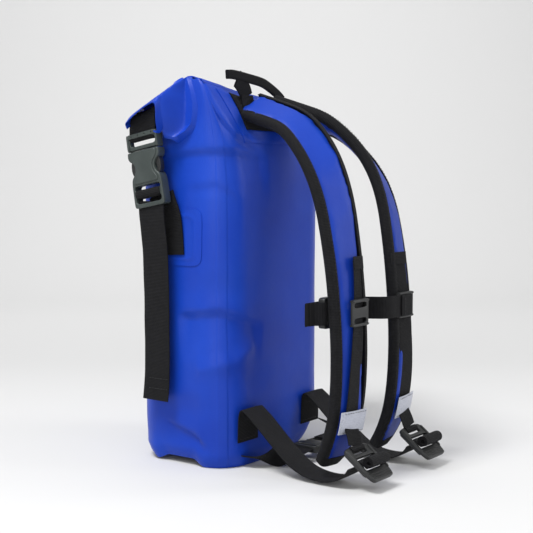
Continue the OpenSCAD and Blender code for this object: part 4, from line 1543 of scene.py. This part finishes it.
def small_buckle(name, nodes_name, female_body, male_body, place):
    """Small side-release buckle. Local X runs from its female end bar to the male half."""
    w = 0.017
    lower_half = [(0, -w + 0.002), (0.003, -w), (0.0185, -w), (0.0205, -w + 0.0045), (0.0250, -w + 0.0045),
                  (0.0280, -w + 0.001)]
    outline = lower_half + [(px, -py) for px, py in reversed(lower_half)]
    plate(name + "_female", outline, [box_outline(0.003, -0.013, 0.008, 0.013)], 0.0082, 0.0010, dark_plastic,
          place, female_body, nodes_name + "_female")
    face = [(0.0105, -0.012), (0.0265, -0.010), (0.0265, 0.010), (0.0105, 0.012)]
    plate(name + "_female_face", face, [], 0.0096, 0.0009, dark_plastic, place, female_body)
    male = [(0.0286, -0.0160), (0.0465, -0.0150), (0.0480, -0.0130), (0.0480, 0.0130), (0.0465, 0.0150),
            (0.0286, 0.0160)]
    plate(name + "_male", male, [box_outline(0.0350, -0.0130, 0.0440, 0.0130)], 0.0062, 0.0010, dark_plastic,
          place, male_body, nodes_name + "_male")


def make_chest_strap():
    """Chest buckle with the webbing of both sliders, behind the near shoulder strap."""
    low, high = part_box("chest_buckle_female")
    mid = (low + high) / 2
    place = frame_matrix(ACROSS, -UP, BACK, Vector((low.x, mid.y, mid.z)))
    small_buckle("chest_clip", "chest_buckle", "chest_right", "chest_male", place)
    wlow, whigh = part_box("chest_webbing_left")
    z = (wlow.z + whigh.z) / 2
    tall = whigh.z - wlow.z
    front = wlow.y + web_t / 2
    back = mid.y
    path = [(whigh.x - 0.001, front), (0.030, front), (0.012, front + 0.0006), (0.003, front + 0.007),
            (-0.002, back - 0.013), (-0.009, back - 0.0060), (-0.016, back - 0.0042),
            (wlow.x - 0.006, back - 0.0041)]
    ribbon("chest_web_left", [(px, py, z) for px, py in path], UP, tall, "chest_left", "chest_webbing_left")
    fold = [(whigh.x - dx, front - dy, z) for dx, dy in ((0.003, 0.0022), (0.020, 0.0026), (0.026, 0.0018))]
    ribbon("chest_web_fold", fold, UP, tall - 0.001, "chest_left", passes=1)
    for k in range(2):
        seam_x = whigh.x - 0.008 - 0.012 * k
        line = [(seam_x, front - 0.0034, z + d) for d in np.linspace(-0.0105, 0.0105, 10)]
        stitches(f"chest_stitch_{k}", line, -BACK, "chest_left")
    rlow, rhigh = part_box("chest_webbing_right")
    end = low.x
    loop = [(rlow.x, 0.0054), (end - 0.004, 0.0060), (end + 0.0006, 0.0062), (end + 0.0048, 0.0058),
            (end + 0.0056, 0), (end + 0.0048, -0.0050), (end - 0.0012, -0.0052), (end - 0.006, -0.001),
            (end - 0.010, 0.0034), (rlow.x + 0.006, 0.0036)]
    ribbon("chest_web_right", [(px, back + dy, z) for px, dy in loop], UP, rhigh.z - rlow.z, "chest_right",
           "chest_webbing_right", step=0.0015)


make_chest_strap()


# ---- waist belt ----
def make_waist_belt():
    """Waist buckle with a webbing lead from each side of the bag."""
    low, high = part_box("waist_buckle_female")
    x, y, z = low.x + 0.002, (low.y + high.y) / 2, (low.z + high.z) / 2
    small_buckle("waist_clip", "waist_buckle", "bag", "waist_male", Matrix.Translation((x, y, z)))
    right = [(-0.062, -half_d + 0.003, 0.0100), (-0.062, -0.080, 0.0100), (-0.055, -0.091, 0.010),
             (-0.040, -0.104, 0.012), (-0.020, y, z), (-0.004, y, z)]
    ribbon("waist_web_right", right, ((-0.96, 0, 0.28), BACK), HARNESS_W, "bag", "waist_webbing_right")
    level = z + 0.0044
    ribbon("waist_web_left", [(0.034, y, level), (0.072, y, level)], BACK, HARNESS_W, "bag",
           "waist_webbing_left", passes=0)
    lead = [(0.070, y, level), (0.074, y, z + 0.0046), (0.084, -0.108, 0.0205), (0.0905, -0.092, 0.024),
            (0.0915, -half_d - 0.001, 0.026)]
    ribbon("waist_web_lead", lead, (BACK, (-0.9, 0, 0.45)), HARNESS_W, "bag")


make_waist_belt()


# ---- floor, light and camera ----
CAMERA_AT = Vector((-1.0637, -0.8357, 0.3297))
CAMERA_YAW = math.radians(36.37)
CAMERA_PITCH = math.radians(-4.42)
# Focal length as a share of the picture's width
FOCAL_SHARE = 1100 / 533
SENSOR_MM = 36
# The paper runs level this far past the bag, then turns up
COVE_START = 1.6
COVE_R = 1.2


def make_stage():
    """A paper cove behind the bag, and an even world light."""
    mesh = bpy.data.meshes.new("floor")
    forward = Vector((math.cos(CAMERA_YAW), math.sin(CAMERA_YAW), 0))
    aside = Vector((-forward.y, forward.x, 0))
    run = [(-2.5, 0.0), (COVE_START, 0.0)]
    for degrees in range(6, 91, 6):
        a = math.radians(degrees)
        run.append((COVE_START + COVE_R * math.sin(a), COVE_R - COVE_R * math.cos(a)))
    run.append((COVE_START + COVE_R, 4.0))
    verts = [forward * d + aside * w + Vector((0, 0, z)) for d, z in run for w in (-4.0, 4.0)]
    mesh.from_pydata(verts, [], [(2 * k, 2 * k + 1, 2 * k + 3, 2 * k + 2) for k in range(len(run) - 1)])
    mesh.shade_smooth()
    floor = bpy.data.objects.new("floor", mesh)
    s = Shader("floor_paper", (0.68, 0.68, 0.68), 0.9, specular=0.1)
    s.relief(s.noise(40, 2), 0.00005)
    mesh.materials.append(s.material)
    bpy.context.scene.collection.objects.link(floor)
    floor.location.z = -0.0004
    world = bpy.data.worlds.new("studio")
    world.use_nodes = True
    sky = world.node_tree.nodes["Background"].inputs
    sky["Color"].default_value = (0.84, 0.84, 0.84, 1)
    sky["Strength"].default_value = 0.72
    bpy.context.scene.world = world


def area_light(name, at, target, size, power):
    """A rectangular lamp that faces a point."""
    data = bpy.data.lights.new(name, "AREA")
    data.shape = "RECTANGLE"
    data.size, data.size_y = size
    data.energy = power
    obj = bpy.data.objects.new(name, data)
    obj.location = at
    obj.rotation_euler = (Vector(target) - Vector(at)).to_track_quat("-Z", "Y").to_euler()
    bpy.context.scene.collection.objects.link(obj)


def make_camera():
    """The photo's camera."""
    data = bpy.data.cameras.new("camera")
    data.sensor_width = SENSOR_MM
    data.lens = SENSOR_MM * FOCAL_SHARE
    data.clip_start = 0.05
    camera = bpy.data.objects.new("camera", data)
    camera.location = CAMERA_AT
    level = math.cos(CAMERA_PITCH)
    look = Vector((level * math.cos(CAMERA_YAW), level * math.sin(CAMERA_YAW), math.sin(CAMERA_PITCH)))
    camera.rotation_euler = look.to_track_quat("-Z", "Y").to_euler()
    bpy.context.scene.collection.objects.link(camera)
    bpy.context.scene.camera = camera


make_stage()
middle = Vector((0, -0.04, 0.22))
area_light("key", (-0.95, 0.05, 1.95), middle, (0.6, 0.6), 35)
area_light("fill", (-1.7, -0.9, 0.8), middle, (1.2, 1.2), 8)
area_light("backdrop", Vector((0.9, 0.66, 1.5)), Vector((2.4, 1.8, 0.9)), (2.4, 1.2), 15)
area_light("rim", (0.9, -1.3, 0.9), middle, (0.5, 1.2), 8)
make_camera()
bpy.context.scene.view_settings.view_transform = "Standard"
